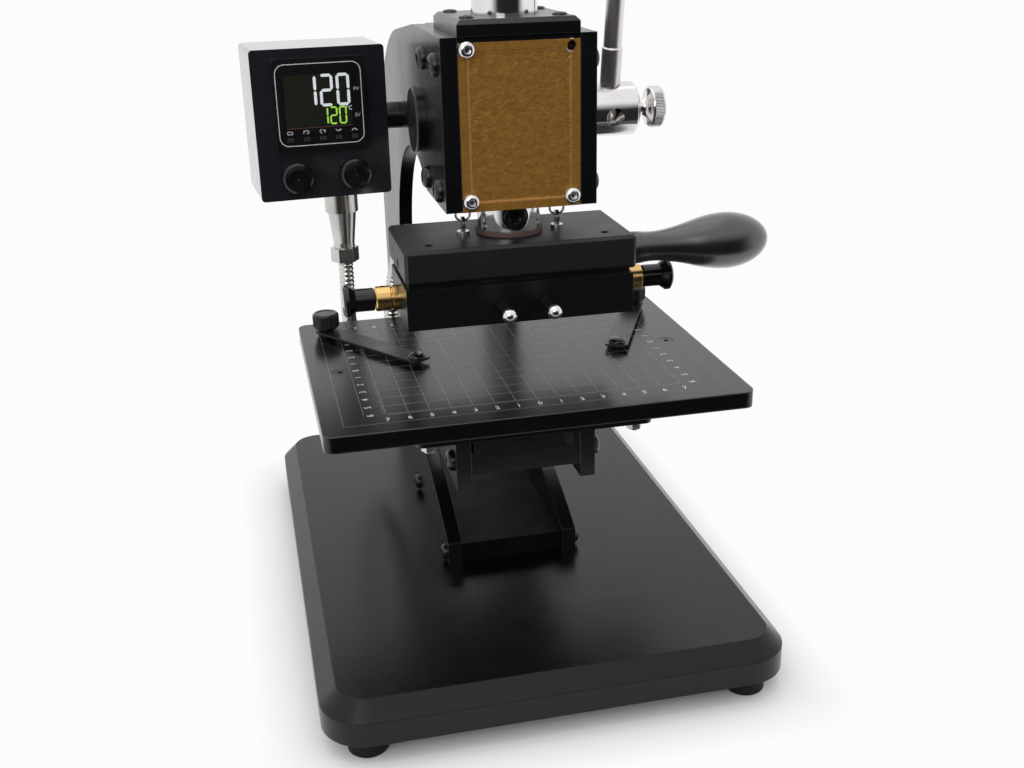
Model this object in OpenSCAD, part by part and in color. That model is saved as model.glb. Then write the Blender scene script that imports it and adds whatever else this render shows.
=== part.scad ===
// Bench hot foil stamping press: C frame of two cheeks, rack and pinion ram with a side lever,
// heated stamping head, sliding gauge table and a temperature control box.
// Millimetres, +Z up, X to the right seen from the front, front towards -Y.
// Origin: centre of the base plate, at the level of the feet's undersides.

/* [Base] */
// Width of the base plate
base_w = 225; // [200:1:260]
// Depth of the base plate
base_d = 320; // [305:1:360]
// Thickness of the base plate
base_t = 20; // [14:1:30]
// Chamfer round the top of the base plate
base_chamfer = 8; // [3:0.5:10]
// Corner radius of the base plate
base_corner_r = 22; // [14:1:30]
// Diameter of a rubber foot
foot_d = 20; // [14:1:24]
// Height of a rubber foot
foot_h = 10; // [6:1:16]
// Distance of the feet's centres from the base's left and right sides
foot_inset_x = 20.5; // [18:0.5:40]
// Distance of the feet's centres from the base's front and back
foot_inset_y = 14; // [12:0.5:40]

/* [C frame] */
// Thickness of each cheek plate
cheek_t = 7.5; // [5:0.5:12]
// Distance between the two cheek plates
cheek_gap = 55; // [54:0.5:62]
// Height of the frame's middle above the base plate
frame_mid_h = 126; // [120:1:140]
// Distance of the frame's middle in front of the base's middle
frame_front = 5; // [0:1:15]
// Height of the frame's top above its middle
frame_rise = 150; // [146:1:160]
// Reach of the frame behind its middle
frame_back = 155; // [148:1:160]
// Radius of the frame's rounded upper back corner
frame_r = 110; // [100:1:120]
// Fall of the frame's top edge towards that corner
top_fall = 6; // [2:0.5:10]
// Radius of the throat
throat_r = 70; // [66:1:74]
// Height of the throat's centre above the frame's middle
throat_rise = 18; // [14:1:22]
// Distance of the throat's centre behind the frame's middle
throat_back = 17; // [12:1:22]
// Reach of the upper arm in front of the frame's middle
arm_reach = 78; // [74:1:90]
// Height of the upper arm's underside above the frame's middle
arm_rise = 74; // [70:1:78]
// Depth of the lower arm's top below the frame's middle
table_arm_drop = 30; // [24:1:36]
// Height of the lower arm
table_arm_h = 34; // [30:1:40]
// Reach of the toe in front of the frame's middle
toe_reach = 41; // [34:1:60]
// Radius of the arched top edge of the leg
leg_r = 300; // [250:5:400]
// Height of the leg's arch above the base plate
leg_h = 43; // [36:1:46]
// Distance of the arch's highest point behind the frame's middle
leg_back = 89; // [70:1:100]
// Distance of the end of the slot under the lower arm behind the frame's middle
slot_back = 65; // [40:1:75]
// Height of the block between the legs
foot_block_h = 11; // [9.5:0.5:13]

/* [Ram and lever] */
// Diameter of the ram
ram_d = 30; // [28:0.5:32]
// Distance of the ram's axis behind the upper arm's front
ram_setback = 29; // [27:0.5:32]
// Length of the ram above the head cap
ram_over = 62; // [40:1:90]
// Wall of the ram's guide bushes
bush_wall = 2.5; // [1.5:0.25:3]
// Tooth module of the rack and pinion
gear_module = 1.5; // [1.25:0.25:1.5]
// Number of pinion teeth
pinion_teeth = 20; // [18:1:20]
// Width of the pinion
pinion_w = 20; // [14:1:22]
// Height of the pinion's axis above the frame's middle
pinion_rise = 107.5; // [105:0.5:112]
// Diameter of the pinion shaft
shaft_d = 14; // [10:0.5:16]
// Diameter of the lever hub
hub_d = 26; // [22:0.5:30]
// Length of the lever hub
hub_l = 35.5; // [32:0.5:45]
// Distance of the lever's axis from the hub's outer end
lever_inset = 13; // [12:0.5:16]
// Diameter of the lever rod
lever_d = 8.8; // [7:0.1:10]
// Diameter of the thick lower end of the lever rod
lever_root_d = 10; // [8.5:0.1:12]
// Length of the lever rod from the hub's axis
lever_l = 215; // [160:1:260]
// Forward lean of the lever at rest, degrees
lever_lean = 11; // [0:1:20]
// Length of the lever's grip
grip_l = 78; // [60:1:110]
// Diameter of the lever's grip
grip_d = 21; // [16:0.5:28]

/* [Stamping head] */
// Width of the heater block
heater_w = 110; // [104:1:124]
// Depth of the heater block
heater_d = 56; // [52:1:60]
// Height of the heater block
heater_h = 15.9; // [14:0.1:20]
// Height of the adapter plate under the heater block
adapter_h = 3.1; // [2:0.1:5]
// Height of the die chase
chase_h = 19.4; // [18:0.1:24]
// Height of the die face above the table at rest
daylight = 29.2; // [27:0.1:34]
// Diameter of the pear handle at its widest
pear_d = 27.2; // [24:0.2:32]
// Length of the pear handle
pear_l = 69.5; // [60:0.5:90]
// Diameter of the index plungers' pull discs
plunger_d = 15.5; // [14:0.5:18]
// Length of the front clamp screws in front of the chase
clamp_reach = 22.5; // [14:0.5:28]
// Diameter of the front clamp screws
clamp_d = 4.8; // [4:0.1:6]
// Curls of a return spring
spring_curls = 12; // [8:1:16]
// Wire of a return spring
spring_wire = 1.2; // [0.8:0.1:1.4]

/* [Table] */
// Width of the table
table_w = 200; // [190:1:240]
// Depth of the table
table_d = 160; // [150:1:160]
// Thickness of the table
table_t = 8; // [6:0.5:12]
// Distance of the table's centre behind the ram's axis
table_back = 9; // [0:0.5:9]
// Thickness of the carriage under the table
carriage_t = 11; // [9:0.5:14]
// Width of the carriage
carriage_w = 114; // [104:1:130]
// Depth of the carriage
carriage_d = 120; // [110:1:130]
// Length of a hold-down arm from its pivot to its tip
hold_l = 74; // [50:1:80]
// Width of a hold-down arm
hold_w = 11.5; // [9:0.5:14]
// Distance of the arms' pivots from the table's sides
hold_inset_x = 14; // [11:0.5:20]
// Distance of the arms' pivots from the table's back edge
hold_inset_y = 21; // [11:0.5:24]
// Diameter of the arms' knurled knobs
hold_knob_d = 13.5; // [10:0.5:16]

/* [Control box] */
// Width of the control box
box_w = 70; // [64:1:76]
// Depth of the control box
box_d = 46; // [42:1:60]
// Height of the control box
box_h = 78; // [76:1:86]
// Wall of the control box
box_wall = 2; // [1.5:0.25:3]
// Turn of the box towards the middle, degrees
box_yaw = 5; // [0:1:10]
// Height of the box's underside above the frame's middle
box_rise = 59; // [56:1:64]
// Front size of the panel instrument
panel = 48; // [44:1:50]
// Diameter of the round push buttons
button_d = 16; // [12:0.5:17]

/* [Clearances] */
// Gap between pieces that move past each other
gap = 0.3; // [0.25:0.05:0.5]
// Radial clearance of running fits
fit = 0.05; // [0.02:0.01:0.09]

/* [Hidden] */
$fn = 64;
eps = 0.01;

// Levels and planes worked out from the driving sizes
base_top = foot_h + base_t;
frame_c = [-frame_front, base_top + frame_mid_h];
cheek_in = cheek_gap / 2;
cheek_out = cheek_in + cheek_t;
arm_front = frame_c[0] - arm_reach;
arm_low = frame_c[1] + arm_rise;
frame_top = frame_c[1] + frame_rise;
throat_c = frame_c + [throat_back, throat_rise];
corner_c = [frame_c[0] + frame_back - frame_r, frame_top - top_fall - frame_r];
corner_reach = [frame_c[0], frame_top] - corner_c;
corner_turn = atan2(corner_reach[1], corner_reach[0]) - acos(frame_r / norm(corner_reach));
corner_start = corner_c + frame_r * [cos(corner_turn), sin(corner_turn)];
table_arm_top = frame_c[1] - table_arm_drop;
table_arm_low = table_arm_top - table_arm_h;
toe_y = frame_c[0] - toe_reach;
leg_c = [frame_c[0] + leg_back, base_top + leg_h - leg_r];
slot_y = frame_c[0] + slot_back;
function leg_z(y) = leg_c[1] + sqrt(leg_r * leg_r - pow(y - leg_c[0], 2));
slot_end_r = (table_arm_low - leg_z(slot_y)) / 2;

ram_y = arm_front + ram_setback;
ram_r = ram_d / 2;
bush_r = ram_r + bush_wall;
pinion_r = gear_module * pinion_teeth / 2;
tooth_tip = gear_module;
tooth_root = 1.25 * gear_module;
rack_tip_cut = 0.5;
rack_pitch = ram_r - rack_tip_cut - tooth_tip;
pinion_y = ram_y + rack_pitch + pinion_r;
pinion_z = frame_c[1] + pinion_rise;
head_back = pinion_y + 26;
pocket_r = pinion_r + tooth_tip + 1;
cap_t = 7;
cap_back = ram_y + ram_r + 14;
plate_t = 2;
plate_low = arm_low - gap;
plate_drop = 2.3;
plate_h = frame_top - plate_low - plate_drop;
plate_border = 3.8;
plate_recess = 0.9;

// Heights of the stamping head, built up from the table
table_top = table_arm_top + 1 + carriage_t + table_t;
table_low = table_top - table_t;
carriage_low = table_low - carriage_t;
table_y = ram_y + table_back;
die_face = table_top + daylight;
chase_top = die_face + chase_h;
adapter_top = chase_top + adapter_h;
heater_top = adapter_top + heater_h;
heater_y = ram_y - 1;
heater_front = heater_y - heater_d / 2;
heater_back = heater_y + heater_d / 2;
washer_h = 2;
heater_chamfer = 1.5;
chase_inset = 0.5;
chase_w = heater_w - 2 * chase_inset;
chase_d = heater_d - 7;
chase_front = heater_y - chase_d / 2;
holder_w = 91;
holder_d = 39;
holder_h = 14;
plunger_z = die_face + 9.8;
plunger_y = heater_y;
plunger_pin = 6;
collar_d = 12;
collar_l = 12;
clamp_x = 10.6;
pear_z = (adapter_top + heater_top) / 2 - 0.8;
pear_y = heater_front + 10.3;

// Return springs, hung from pins in the head and hooked to tabs on the heater block
spring_x = 22.9;
spring_y = heater_y - 2;
spring_r = 3.4;
spring_pin_d = 3;
spring_pin_z = frame_top - 16;
tab_hole_d = 3.4;
tab_hole_z = heater_top + 5.5;
slot_w = 2 * spring_r + spring_wire + 1.6;

// Bolt places on a cheek, as distances behind and above the frame's middle
arm_bolts = [for (y = [13, 45.5], z = [frame_rise - 12.5, arm_rise + 8]) [y - arm_reach, z]];
table_bolts = [for (y = [9.5, 93]) [y - arm_reach, 13 - table_arm_drop - table_arm_h]];
foot_bolts = [for (y = [8 - toe_reach, slot_back - 8]) [y, 5 - frame_mid_h]];
bolt_d = 6;
bolt_head_d = 11;
bolt_head_h = 3.5;
foot_bolt_d = 5;
foot_bolt_head_d = 8.5;
foot_bolt_head_h = 2.8;
foot_setback = 3;
cap_screw_l = 14;
bolt_depth = 9;
bolt_fit = 0.1;

// Dovetail slide under the table
slide_low = table_arm_low + 18.3;
slide_top = table_arm_top - 4;
slide_l = 87;
slide_left = 24;
slide_right = 21;
dovetail = 5;
gib_t = 2;
side_slot = [1.6, slide_low + 0.7];
anvil_low = table_arm_low + 7.3;
anvil_back = frame_c[0] + 40;

// Control box and hose places
box_gap = 8;
box_place = [-cheek_out - box_gap - box_w / 2, 40, frame_c[1] + box_rise];
panel_z = box_h - 5 - panel / 2;
button_x = 15.5;
button_z = 12;
button_travel = 2;
key_travel = 0.5;
key_x = [-17.5, -9, -0.5, 8, 16.5];
key_size = [3.6, 2.3];
key_z = panel_z - 17;
window_size = [34.8, 26.8];
window_x = -1.6;
window_z = panel_z + 2.5;
inlet_z = 15;
inlet_body = [27, 19.4];
instrument_depth = 34;
post_y = 57;
post_z = box_place[2] + box_h / 2;
post_d = 14;
hose_d = 8.6;
hose_bore = 6.4;
rib_pitch = 2.6;
gland_xy = [-68.5, 72];
gland_low = 171;
fitting_end = -12;
fitting_xz = [-41, 202.5];
fitting_d = 9.4;
fitting_hex = 11;

// Route of the ribbed hose, from the fitting on the head to the gland under the box
hose_route = [
    [fitting_xz[0], fitting_end + gap, fitting_xz[1]],
    [-41, -4, 202.5], [-41, 7, 200.8], [-41.5, 17, 196.5], [-42.2, 26, 189.8],
    [-43.2, 33, 181], [-44.4, 38, 171], [-46, 41, 160], [-47.3, 42.5, 148],
    [-47.6, 43, 135], [-47.8, 43, 117], [-48, 43, 98], [-49.5, 47, 80], [-51, 56, 67], [-53, 71, 60], [-55.5, 87, 60],
    [-58, 101, 67], [-60.5, 111, 79], [-62.5, 115, 94], [-64, 112, 109], [-65.5, 104, 121],
    [-67, 93, 129], [-68, 82, 137], [-68.5, 75, 148], [-68.5, 72, 160],
    [gland_xy[0], gland_xy[1], gland_low - 0.05]];

// Shapes shared by several pieces

// A YZ outline drawn out along X
module along_x(x, length) {
    translate([x, 0, 0]) rotate([90, 0, 90]) linear_extrude(length) children();
}

// An XZ outline drawn out along Y
module along_y(y, length) {
    translate([0, y + length, 0]) rotate([90, 0, 0]) linear_extrude(length) children();
}

module rod_x(d, x0, x1, y, z) {
    translate([x0, y, z]) rotate([0, 90, 0]) cylinder(d = d, h = x1 - x0);
}

module rod_y(d, y0, y1, x, z) {
    translate([x, y0, z]) rotate([-90, 0, 0]) cylinder(d = d, h = y1 - y0);
}

module rounded_rect(w, d, r) {
    square([w - 2 * r, d], center = true);
    square([w, d - 2 * r], center = true);
    for (x = [-1, 1], y = [-1, 1])
        translate([x * (w / 2 - r), y * (d / 2 - r)]) circle(r);
}

// A domed screw with a hexagon socket, its seat at z = 0 and its shank below
module button_screw(head_d, head_h, shank_d, shank_l) {
    difference() {
        rotate_extrude() {
            square([head_d / 2, head_h * 0.4]);
            polygon([[0, 0], [head_d / 2, head_h * 0.4], [head_d * 0.36, head_h * 0.85],
                [head_d * 0.25, head_h], [0, head_h]]);
        }
        translate([0, 0, head_h * 0.4]) cylinder(d = head_d * 0.45, h = head_h, $fn = 6);
    }
    translate([0, 0, -shank_l]) cylinder(d = shank_d, h = shank_l + eps);
}

// Puts a screw on the outside of the right (side = 1) or left (side = -1) cheek
module on_cheek(side, place) {
    translate([side * cheek_out, frame_c[0] + place[0], frame_c[1] + place[1]])
        rotate([0, side * 90, 0]) children();
}

module cheek_bolt_holes(places, d = bolt_d) {
    for (side = [-1, 1], p = places)
        on_cheek(side, p)
            translate([0, 0, -cheek_t - bolt_depth])
                cylinder(d = d + 2 * bolt_fit, h = cheek_t + bolt_depth + 1);
}

// A rectangle with its corners cut off
module chamfered_rect(w, h, c) {
    polygon([for (s = [[1, 1, 0], [1, 1, 1], [-1, 1, 1], [-1, 1, 0], [-1, -1, 0], [-1, -1, 1],
        [1, -1, 1], [1, -1, 0]]) [s[0] * (w / 2 - c * s[2]), s[1] * (h / 2 - c * (1 - s[2]))]]);
}

// The opening between the arms: the round throat, open to the front under the upper arm
module throat_outline() {
    translate(throat_c) circle(throat_r, $fn = 128);
    translate([arm_front - 1, table_arm_top])
        square([throat_c[0] - arm_front + 1, arm_low - table_arm_top]);
    translate([throat_c[0], table_arm_top]) square([throat_r, throat_c[1] - table_arm_top]);
}

// Outline of one cheek in the YZ plane
module cheek_outline() {
    difference() {
        union() {
            intersection() {
                translate(corner_c) circle(frame_r, $fn = 128);
                translate(corner_c) square(frame_r + 1);
            }
            translate([corner_c[0], base_top]) square([frame_r, corner_c[1] - base_top + eps]);
            polygon([[frame_c[0], frame_top], corner_start, corner_c, [corner_c[0] + eps, base_top],
                [frame_c[0], base_top]]);
            translate([arm_front, arm_low])
                square([arm_reach + eps, frame_top - arm_low]);
            translate([arm_front + 1, table_arm_low])
                square([arm_reach, table_arm_h]);
            intersection() {
                translate(leg_c) circle(leg_r, $fn = 256);
                translate([toe_y, base_top]) square([toe_reach + 1, leg_h]);
            }
        }
        intersection() {
            throat_outline();
            translate([arm_front - 2, table_arm_top]) square(4 * throat_r);
        }
        difference() {
            translate([toe_y - 1, base_top]) square([slot_y - toe_y + 1, table_arm_low - base_top]);
            translate(leg_c) circle(leg_r, $fn = 256);
        }
        translate([slot_y, table_arm_low - slot_end_r]) circle(slot_end_r);
    }
}

module cheek(side) {
    difference() {
        along_x(side > 0 ? cheek_in : -cheek_out, cheek_t) cheek_outline();
        cheek_bolt_holes(concat(arm_bolts, table_bolts));
        cheek_bolt_holes(foot_bolts, foot_bolt_d);
        rod_x(shaft_d + 6, -cheek_out - 1, cheek_out + 1, pinion_y, pinion_z);
    }
}

// Gear outline with involute flanks; a tooth points along -X
function involute(base_r, t) = base_r * [cos(t) + t * PI / 180 * sin(t), sin(t) - t * PI / 180 * cos(t)];
function turn(p, a) = [p[0] * cos(a) - p[1] * sin(a), p[0] * sin(a) + p[1] * cos(a)];
function mirror_y(p) = [p[0], -p[1]];
pressure_angle = 20;
backlash = 0.12;
function gear_flank(teeth, steps = 5) =
    let (r = gear_module * teeth / 2,
        base_r = r * cos(pressure_angle),
        tip_r = r + tooth_tip,
        root_r = r - tooth_root,
        t_pitch = sqrt(pow(r / base_r, 2) - 1) * 180 / PI,
        t_tip = sqrt(pow(tip_r / base_r, 2) - 1) * 180 / PI,
        at_pitch = involute(base_r, t_pitch),
        half = 90 / teeth - backlash / 2 / r * 180 / PI,
        start = -half - atan2(at_pitch[1], at_pitch[0]))
    concat([turn([root_r, 0], start)], [for (i = [0:steps]) turn(involute(base_r, t_tip * i / steps), start)]);

module gear_outline(teeth) {
    flank = gear_flank(teeth);
    other = [for (i = [len(flank) - 1:-1:0]) mirror_y(flank[i])];
    polygon([for (k = [0:teeth - 1], p = concat(flank, other)) turn(p, 180 + 360 / teeth * k)]);
}

// A tube swept along a path: one ring of points per path point, at its own radius
function unit(v) = v / norm(v);
function tangent(path, i) = unit(path[min(i + 1, len(path) - 1)] - path[max(i - 1, 0)]);
function upright(v, t) = unit(v - (v * t) * t);
function normals(path, first) =
    [for (i = 0, n = upright(first, tangent(path, 0)); i < len(path);
        i = i + 1, n = i < len(path) ? upright(n, tangent(path, i)) : n) n];
function tube_rings(path, radii, sides, first) =
    let (ns = normals(path, first))
    [for (i = [0:len(path) - 1])
        let (n = ns[i], b = cross(tangent(path, i), n))
        for (k = [0:sides - 1])
            path[i] + radii[i] * (cos(360 / sides * k) * n + sin(360 / sides * k) * b)];
function tube_sides(rings, sides, from = 0, inward = false) =
    [for (i = [0:rings - 2], k = [0:sides - 1])
        let (a = from + i * sides + k,
            b = from + i * sides + (k + 1) % sides,
            c = a + sides,
            d = b + sides)
        each (inward ? [[a, b, c], [b, d, c]] : [[a, c, b], [b, c, d]])];
function disc(from, sides, flip) =
    [for (k = [1:sides - 2]) flip ? [from, from + k + 1, from + k] : [from, from + k, from + k + 1]];
function collar(a, b, sides, flip) =
    [for (k = [0:sides - 1])
        let (n = (k + 1) % sides)
        each (flip ? [[a + k, b + k, a + n], [a + n, b + k, b + n]]
            : [[a + k, a + n, b + k], [a + n, b + n, b + k]])];

// Frame of the base

module base_plate() {
    module slab(inset, z, h) {
        translate([0, 0, z]) linear_extrude(h)
            rounded_rect(base_w - 2 * inset, base_d - 2 * inset, base_corner_r - inset);
    }
    color("#1b1b1d") difference() {
        hull() {
            slab(0, foot_h, base_t - base_chamfer);
            slab(base_chamfer, base_top - eps, eps, $fn = 32);
        }
        for (x = [-1, 1], y = [-1, 1])
            translate([x * (base_w / 2 - foot_inset_x), y * (base_d / 2 - foot_inset_y), foot_h - 1])
                cylinder(d = 5 + 2 * bolt_fit, h = 9);
    }
}

module rubber_feet() {
    color("#141414")
    for (x = [-1, 1], y = [-1, 1])
        translate([x * (base_w / 2 - foot_inset_x), y * (base_d / 2 - foot_inset_y), 0]) {
            rotate_extrude() polygon([[0, 0], [foot_d / 2 - 1.5, 0], [foot_d / 2 - 0.5, 1],
                [foot_d / 2, foot_h], [0, foot_h]]);
            translate([0, 0, foot_h - eps]) cylinder(d = 5, h = 7);
        }
}

module left_cheek() {
    color("#202022") cheek(-1);
}

module right_cheek() {
    color("#202022") cheek(1);
}

module foot_block() {
    color("#202022") difference() {
        translate([-cheek_in, toe_y + foot_setback, base_top])
            cube([cheek_gap, slot_y - toe_y - foot_setback + 45, foot_block_h]);
        cheek_bolt_holes(foot_bolts, foot_bolt_d);
    }
}

// The anvil block between the lower arms, with the dovetail way for the table
module anvil_block() {
    wall_x = slide_right + gap + gib_t;
    color("#202022") difference() {
        translate([-cheek_in, arm_front + 1, anvil_low])
            cube([cheek_gap, anvil_back - arm_front - 1, slide_top - anvil_low]);
        along_y(arm_front, anvil_back - arm_front + 1)
            polygon([[-slide_left - gap, slide_low - gap], [wall_x, slide_low - gap],
                [wall_x, slide_top + 1], [dovetail - slide_left - gap, slide_top + 1]]);
        translate([-cheek_in - 1, arm_front, side_slot[1]])
            cube([side_slot[0] + 1, anvil_back - arm_front + 1, slide_top]);
        cheek_bolt_holes(table_bolts);
    }
}

module gib_strip() {
    wall_x = slide_right + gap + gib_t;
    lean = dovetail / (slide_top - slide_low + 1);
    color("#3a3a3c") along_y(arm_front + 1, anvil_back - arm_front - 1)
        polygon([[wall_x - gib_t, slide_low - gap], [wall_x, slide_low - gap], [wall_x, slide_top],
            [wall_x - gib_t - lean * (slide_top - slide_low), slide_top]]);
}

module head_block() {
    color("#202022") difference() {
        along_x(-cheek_in, cheek_gap) difference() {
            translate([arm_front + plate_t, arm_low])
                square([head_back - arm_front - plate_t, frame_top - arm_low]);
            throat_outline();
        }
        translate([0, ram_y, arm_low - 20]) cylinder(r = bush_r, h = frame_rise);
        rod_x(2 * pocket_r, -pinion_w / 2 - 0.5, pinion_w / 2 + 0.5, pinion_y, pinion_z);
        rod_x(shaft_d + 1, -cheek_in - 1, cheek_in + 1, pinion_y, pinion_z);
        for (side = [-1, 1]) {
            translate([side * spring_x, spring_y, arm_low - 1])
                cylinder(d = slot_w, h = spring_pin_z + 6 - arm_low);
            translate([side * (spring_x + slot_w / 2), spring_y, (arm_low + spring_pin_z + 4) / 2])
                cube([slot_w, slot_w, spring_pin_z + 6 - arm_low], center = true);
            rod_y(spring_pin_d, spring_y - 10, spring_y + 10, side * spring_x, spring_pin_z);
        }
        cheek_bolt_holes(arm_bolts);
        plate_screws() cylinder(d = 4 + 2 * bolt_fit, h = 12, center = true);
        cap_screw_holes();
    }
}

module spring_pins() {
    color("silver")
    for (side = [-1, 1])
        rod_y(spring_pin_d, spring_y - 10, spring_y + 10, side * spring_x, spring_pin_z);
}

module cap_screw_places() {
    for (x = [-1, 1], y = [arm_front + 11, cap_back - 8])
        translate([x * (cheek_in - 6.5), y, frame_top + cap_t]) children();
}

module cap_screw_holes() {
    cap_screw_places() translate([0, 0, -cap_screw_l - 0.4])
        cylinder(d = 4 + 2 * bolt_fit, h = cap_screw_l + 1);
}

module head_cap() {
    depth = cap_back - arm_front;
    color("#202022") difference() {
        translate([0, 0, frame_top]) intersection() {
            along_x(-cheek_in, cheek_gap)
                polygon([[arm_front, 0], [cap_back, 0], [cap_back, cap_t - 2], [cap_back - 2, cap_t],
                    [arm_front + 2, cap_t], [arm_front, cap_t - 2]]);
            along_y(arm_front, depth)
                polygon([[-cheek_in, 0], [cheek_in, 0], [cheek_in, cap_t - 2], [cheek_in - 2, cap_t],
                    [2 - cheek_in, cap_t], [-cheek_in, cap_t - 2]]);
        }
        translate([0, ram_y, frame_top - 1]) cylinder(d = ram_d + 1, h = cap_t + 2);
        cap_screw_holes();
    }
}

// Two plain bushes; the pinion's pocket cuts into the lower one
module ram_bushes() {
    color("#b08d57") difference() {
        for (z = [[arm_low, arm_low + 21], [frame_top - 21, frame_top]])
            translate([0, ram_y, z[0]]) difference() {
                cylinder(r = bush_r, h = z[1] - z[0]);
                translate([0, 0, -1]) cylinder(r = ram_r + fit, h = z[1] - z[0] + 2);
            }
        rod_x(2 * pocket_r, -bush_r - 1, bush_r + 1, pinion_y, pinion_z);
    }
}

module pinion_bushes() {
    color("#b08d57")
    for (x = [-cheek_out, cheek_in])
        difference() {
            rod_x(shaft_d + 6, x, x + cheek_t, pinion_y, pinion_z);
            rod_x(shaft_d + 2 * fit, x - 1, x + cheek_t + 1, pinion_y, pinion_z);
        }
}

module pinion_cover() {
    r = shaft_d / 2 + 8.7;
    color("#161617") translate([-cheek_out, pinion_y, pinion_z]) rotate([0, -90, 0])
        rotate_extrude() polygon([[0, 0], [r, 0], [r, 4.4], [r - 0.8, 5.2], [0, 5.2]]);
}

// Screw places on the front plate; the last one is an open hole
module plate_screws(count = 4) {
    inset = 4;
    places = [[-1, 0], [1, 0], [-1, 1], [1, 1]];
    for (i = [0:count - 1])
        translate([places[i][0] * (cheek_in - inset), arm_front,
            plate_low + 5 + places[i][1] * (plate_h - 8)])
            rotate([90, 0, 0]) children();
}

module nameplate() {
    module panel_outline(inset) {
        translate([0, plate_low + plate_h / 2])
            square([cheek_gap - 2 * inset, plate_h - 2 * inset], center = true);
    }
    color("#8a6428") difference() {
        union() {
            along_y(arm_front + plate_recess, plate_t - plate_recess) panel_outline(0.2);
            along_y(arm_front, plate_t) difference() {
                panel_outline(0.2);
                panel_outline(plate_border);
            }
        }
        plate_screws() cylinder(d = 4 + 2 * bolt_fit, h = 12, center = true);
    }
}

module button_screws() {
    color("#d5d6d8") {
        plate_screws(3) button_screw(9, 3.2, 4, 6);
        cap_screw_places() button_screw(7.5, 2.6, 4, cap_screw_l);
    }
}

module cheek_bolts() {
    color("#141415")
    for (side = [-1, 1]) {
        for (p = concat(arm_bolts, table_bolts))
            on_cheek(side, p) button_screw(bolt_head_d, bolt_head_h, bolt_d, cheek_t + bolt_depth - 0.5);
        for (p = foot_bolts)
            on_cheek(side, p)
                button_screw(foot_bolt_head_d, foot_bolt_head_h, foot_bolt_d, cheek_t + bolt_depth - 0.5);
    }
}

// Control box, drawn in its own frame: x across, y from the front face back, z up

module in_box() {
    translate(box_place) rotate([0, 0, box_yaw]) children();
}

module controller_box() {
    color("#1d1e20") difference() {
        in_box() difference() {
            translate([0, 0, box_h / 2]) along_y(0, box_d - box_wall) rounded_rect(box_w, box_h, 2);
            translate([0, 0, box_h / 2]) along_y(box_wall, box_d)
                square([box_w - 2 * box_wall, box_h - 2 * box_wall], center = true);
            translate([0, 0, panel_z]) along_y(-1, box_wall + 2) square(panel - 3, center = true);
            for (x = [-1, 1])
                rod_y(8 + 2 * fit, -1, box_wall + 1, x * button_x, button_z);
        }
        translate([gland_xy[0], gland_xy[1], box_place[2] - 1]) cylinder(d = 12, h = box_wall + 2);
        rod_x(6.4, box_place[0], -cheek_out - 1, post_y, post_z);
    }
}

module controller_back() {
    color("#1d1e20") in_box() difference() {
        translate([0, 0, box_h / 2]) along_y(box_d - box_wall, box_wall) rounded_rect(box_w, box_h, 2);
        translate([0, 0, inlet_z]) along_y(box_d - box_wall - 1, box_wall + 2)
            square(inlet_body + 4 * [bolt_fit, bolt_fit], center = true);
    }
}

// Appliance inlet in the back of the box: flange, body and three flat pins
module power_inlet() {
    color("#101011") in_box() translate([0, 0, inlet_z]) {
        difference() {
            union() {
                along_y(box_d, 2) rounded_rect(31, 23.5, 2);
                along_y(box_d - 14, 14 + eps) square(inlet_body, center = true);
            }
            along_y(box_d - 12, 20) intersection() {
                square([24, 16.5], center = true);
                rotate(45) square(25.5, center = true);
            }
        }
        for (p = [[-7, 1], [7, 1], [0, 5]])
            translate([p[0] - 1, box_d - 12.5, p[1] - 2]) cube([2, 11, 4]);
    }
}

module panel_instrument() {
    body = panel - 3 - 2 * bolt_fit;
    color("#17181a") in_box() difference() {
        union() {
            translate([0, 0, panel_z]) along_y(-2, 2) rounded_rect(panel, panel, 2);
            translate([0, 0, panel_z]) along_y(-eps, instrument_depth) square(body, center = true);
        }
        translate([window_x, 0, window_z]) along_y(-3, 2.2)
            rounded_rect(window_size[0] + 0.2, window_size[1] + 0.2, 1.5);
        for (x = key_x)
            translate([x, -3, key_z - key_size[1] / 2 - gap])
                translate([-key_size[0] / 2 - gap, 0, 0])
                    cube([key_size[0] + 2 * gap, 3.2, key_size[1] + 2 * gap]);
    }
}

module display_window() {
    color("#0a0b0c") in_box() translate([window_x, 0, window_z])
        along_y(-1.9, 1.1) rounded_rect(window_size[0], window_size[1], 1.4);
}

module panel_key(i) {
    color("#26272a") in_box()
        translate([key_x[i] - key_size[0] / 2, -2.4, key_z - key_size[1] / 2])
            cube([key_size[0], 2.6 - key_travel - gap, key_size[1]]);
}

module key_1() {
    panel_key(0);
}

module key_2() {
    panel_key(1);
}

module key_3() {
    panel_key(2);
}

module key_4() {
    panel_key(3);
}

module key_5() {
    panel_key(4);
}

module round_button(side) {
    rise = button_travel + gap;
    color("#151516") in_box() translate([side * button_x, 0, button_z]) rotate([90, 0, 0])
        rotate_extrude() polygon([[0, -12], [4, -12], [4, rise], [button_d / 2, rise],
            [button_d / 2, rise + 2], [button_d / 2 - 1, rise + 3], [button_d / 2 - 3, rise + 3.4],
            [0, rise + 2.8]]);
}

module left_button() {
    round_button(-1);
}

module right_button() {
    round_button(1);
}

// Stand-off between the left cheek and the side of the control box
module box_post() {
    color("#1a1a1b") difference() {
        rod_x(post_d, box_place[0] + box_w / 2 - 6, -cheek_out, post_y, post_z);
        in_box() translate([-box_w / 2, -box_d, 0]) cube([box_w, 3 * box_d, 2 * box_h]);
    }
}

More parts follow.
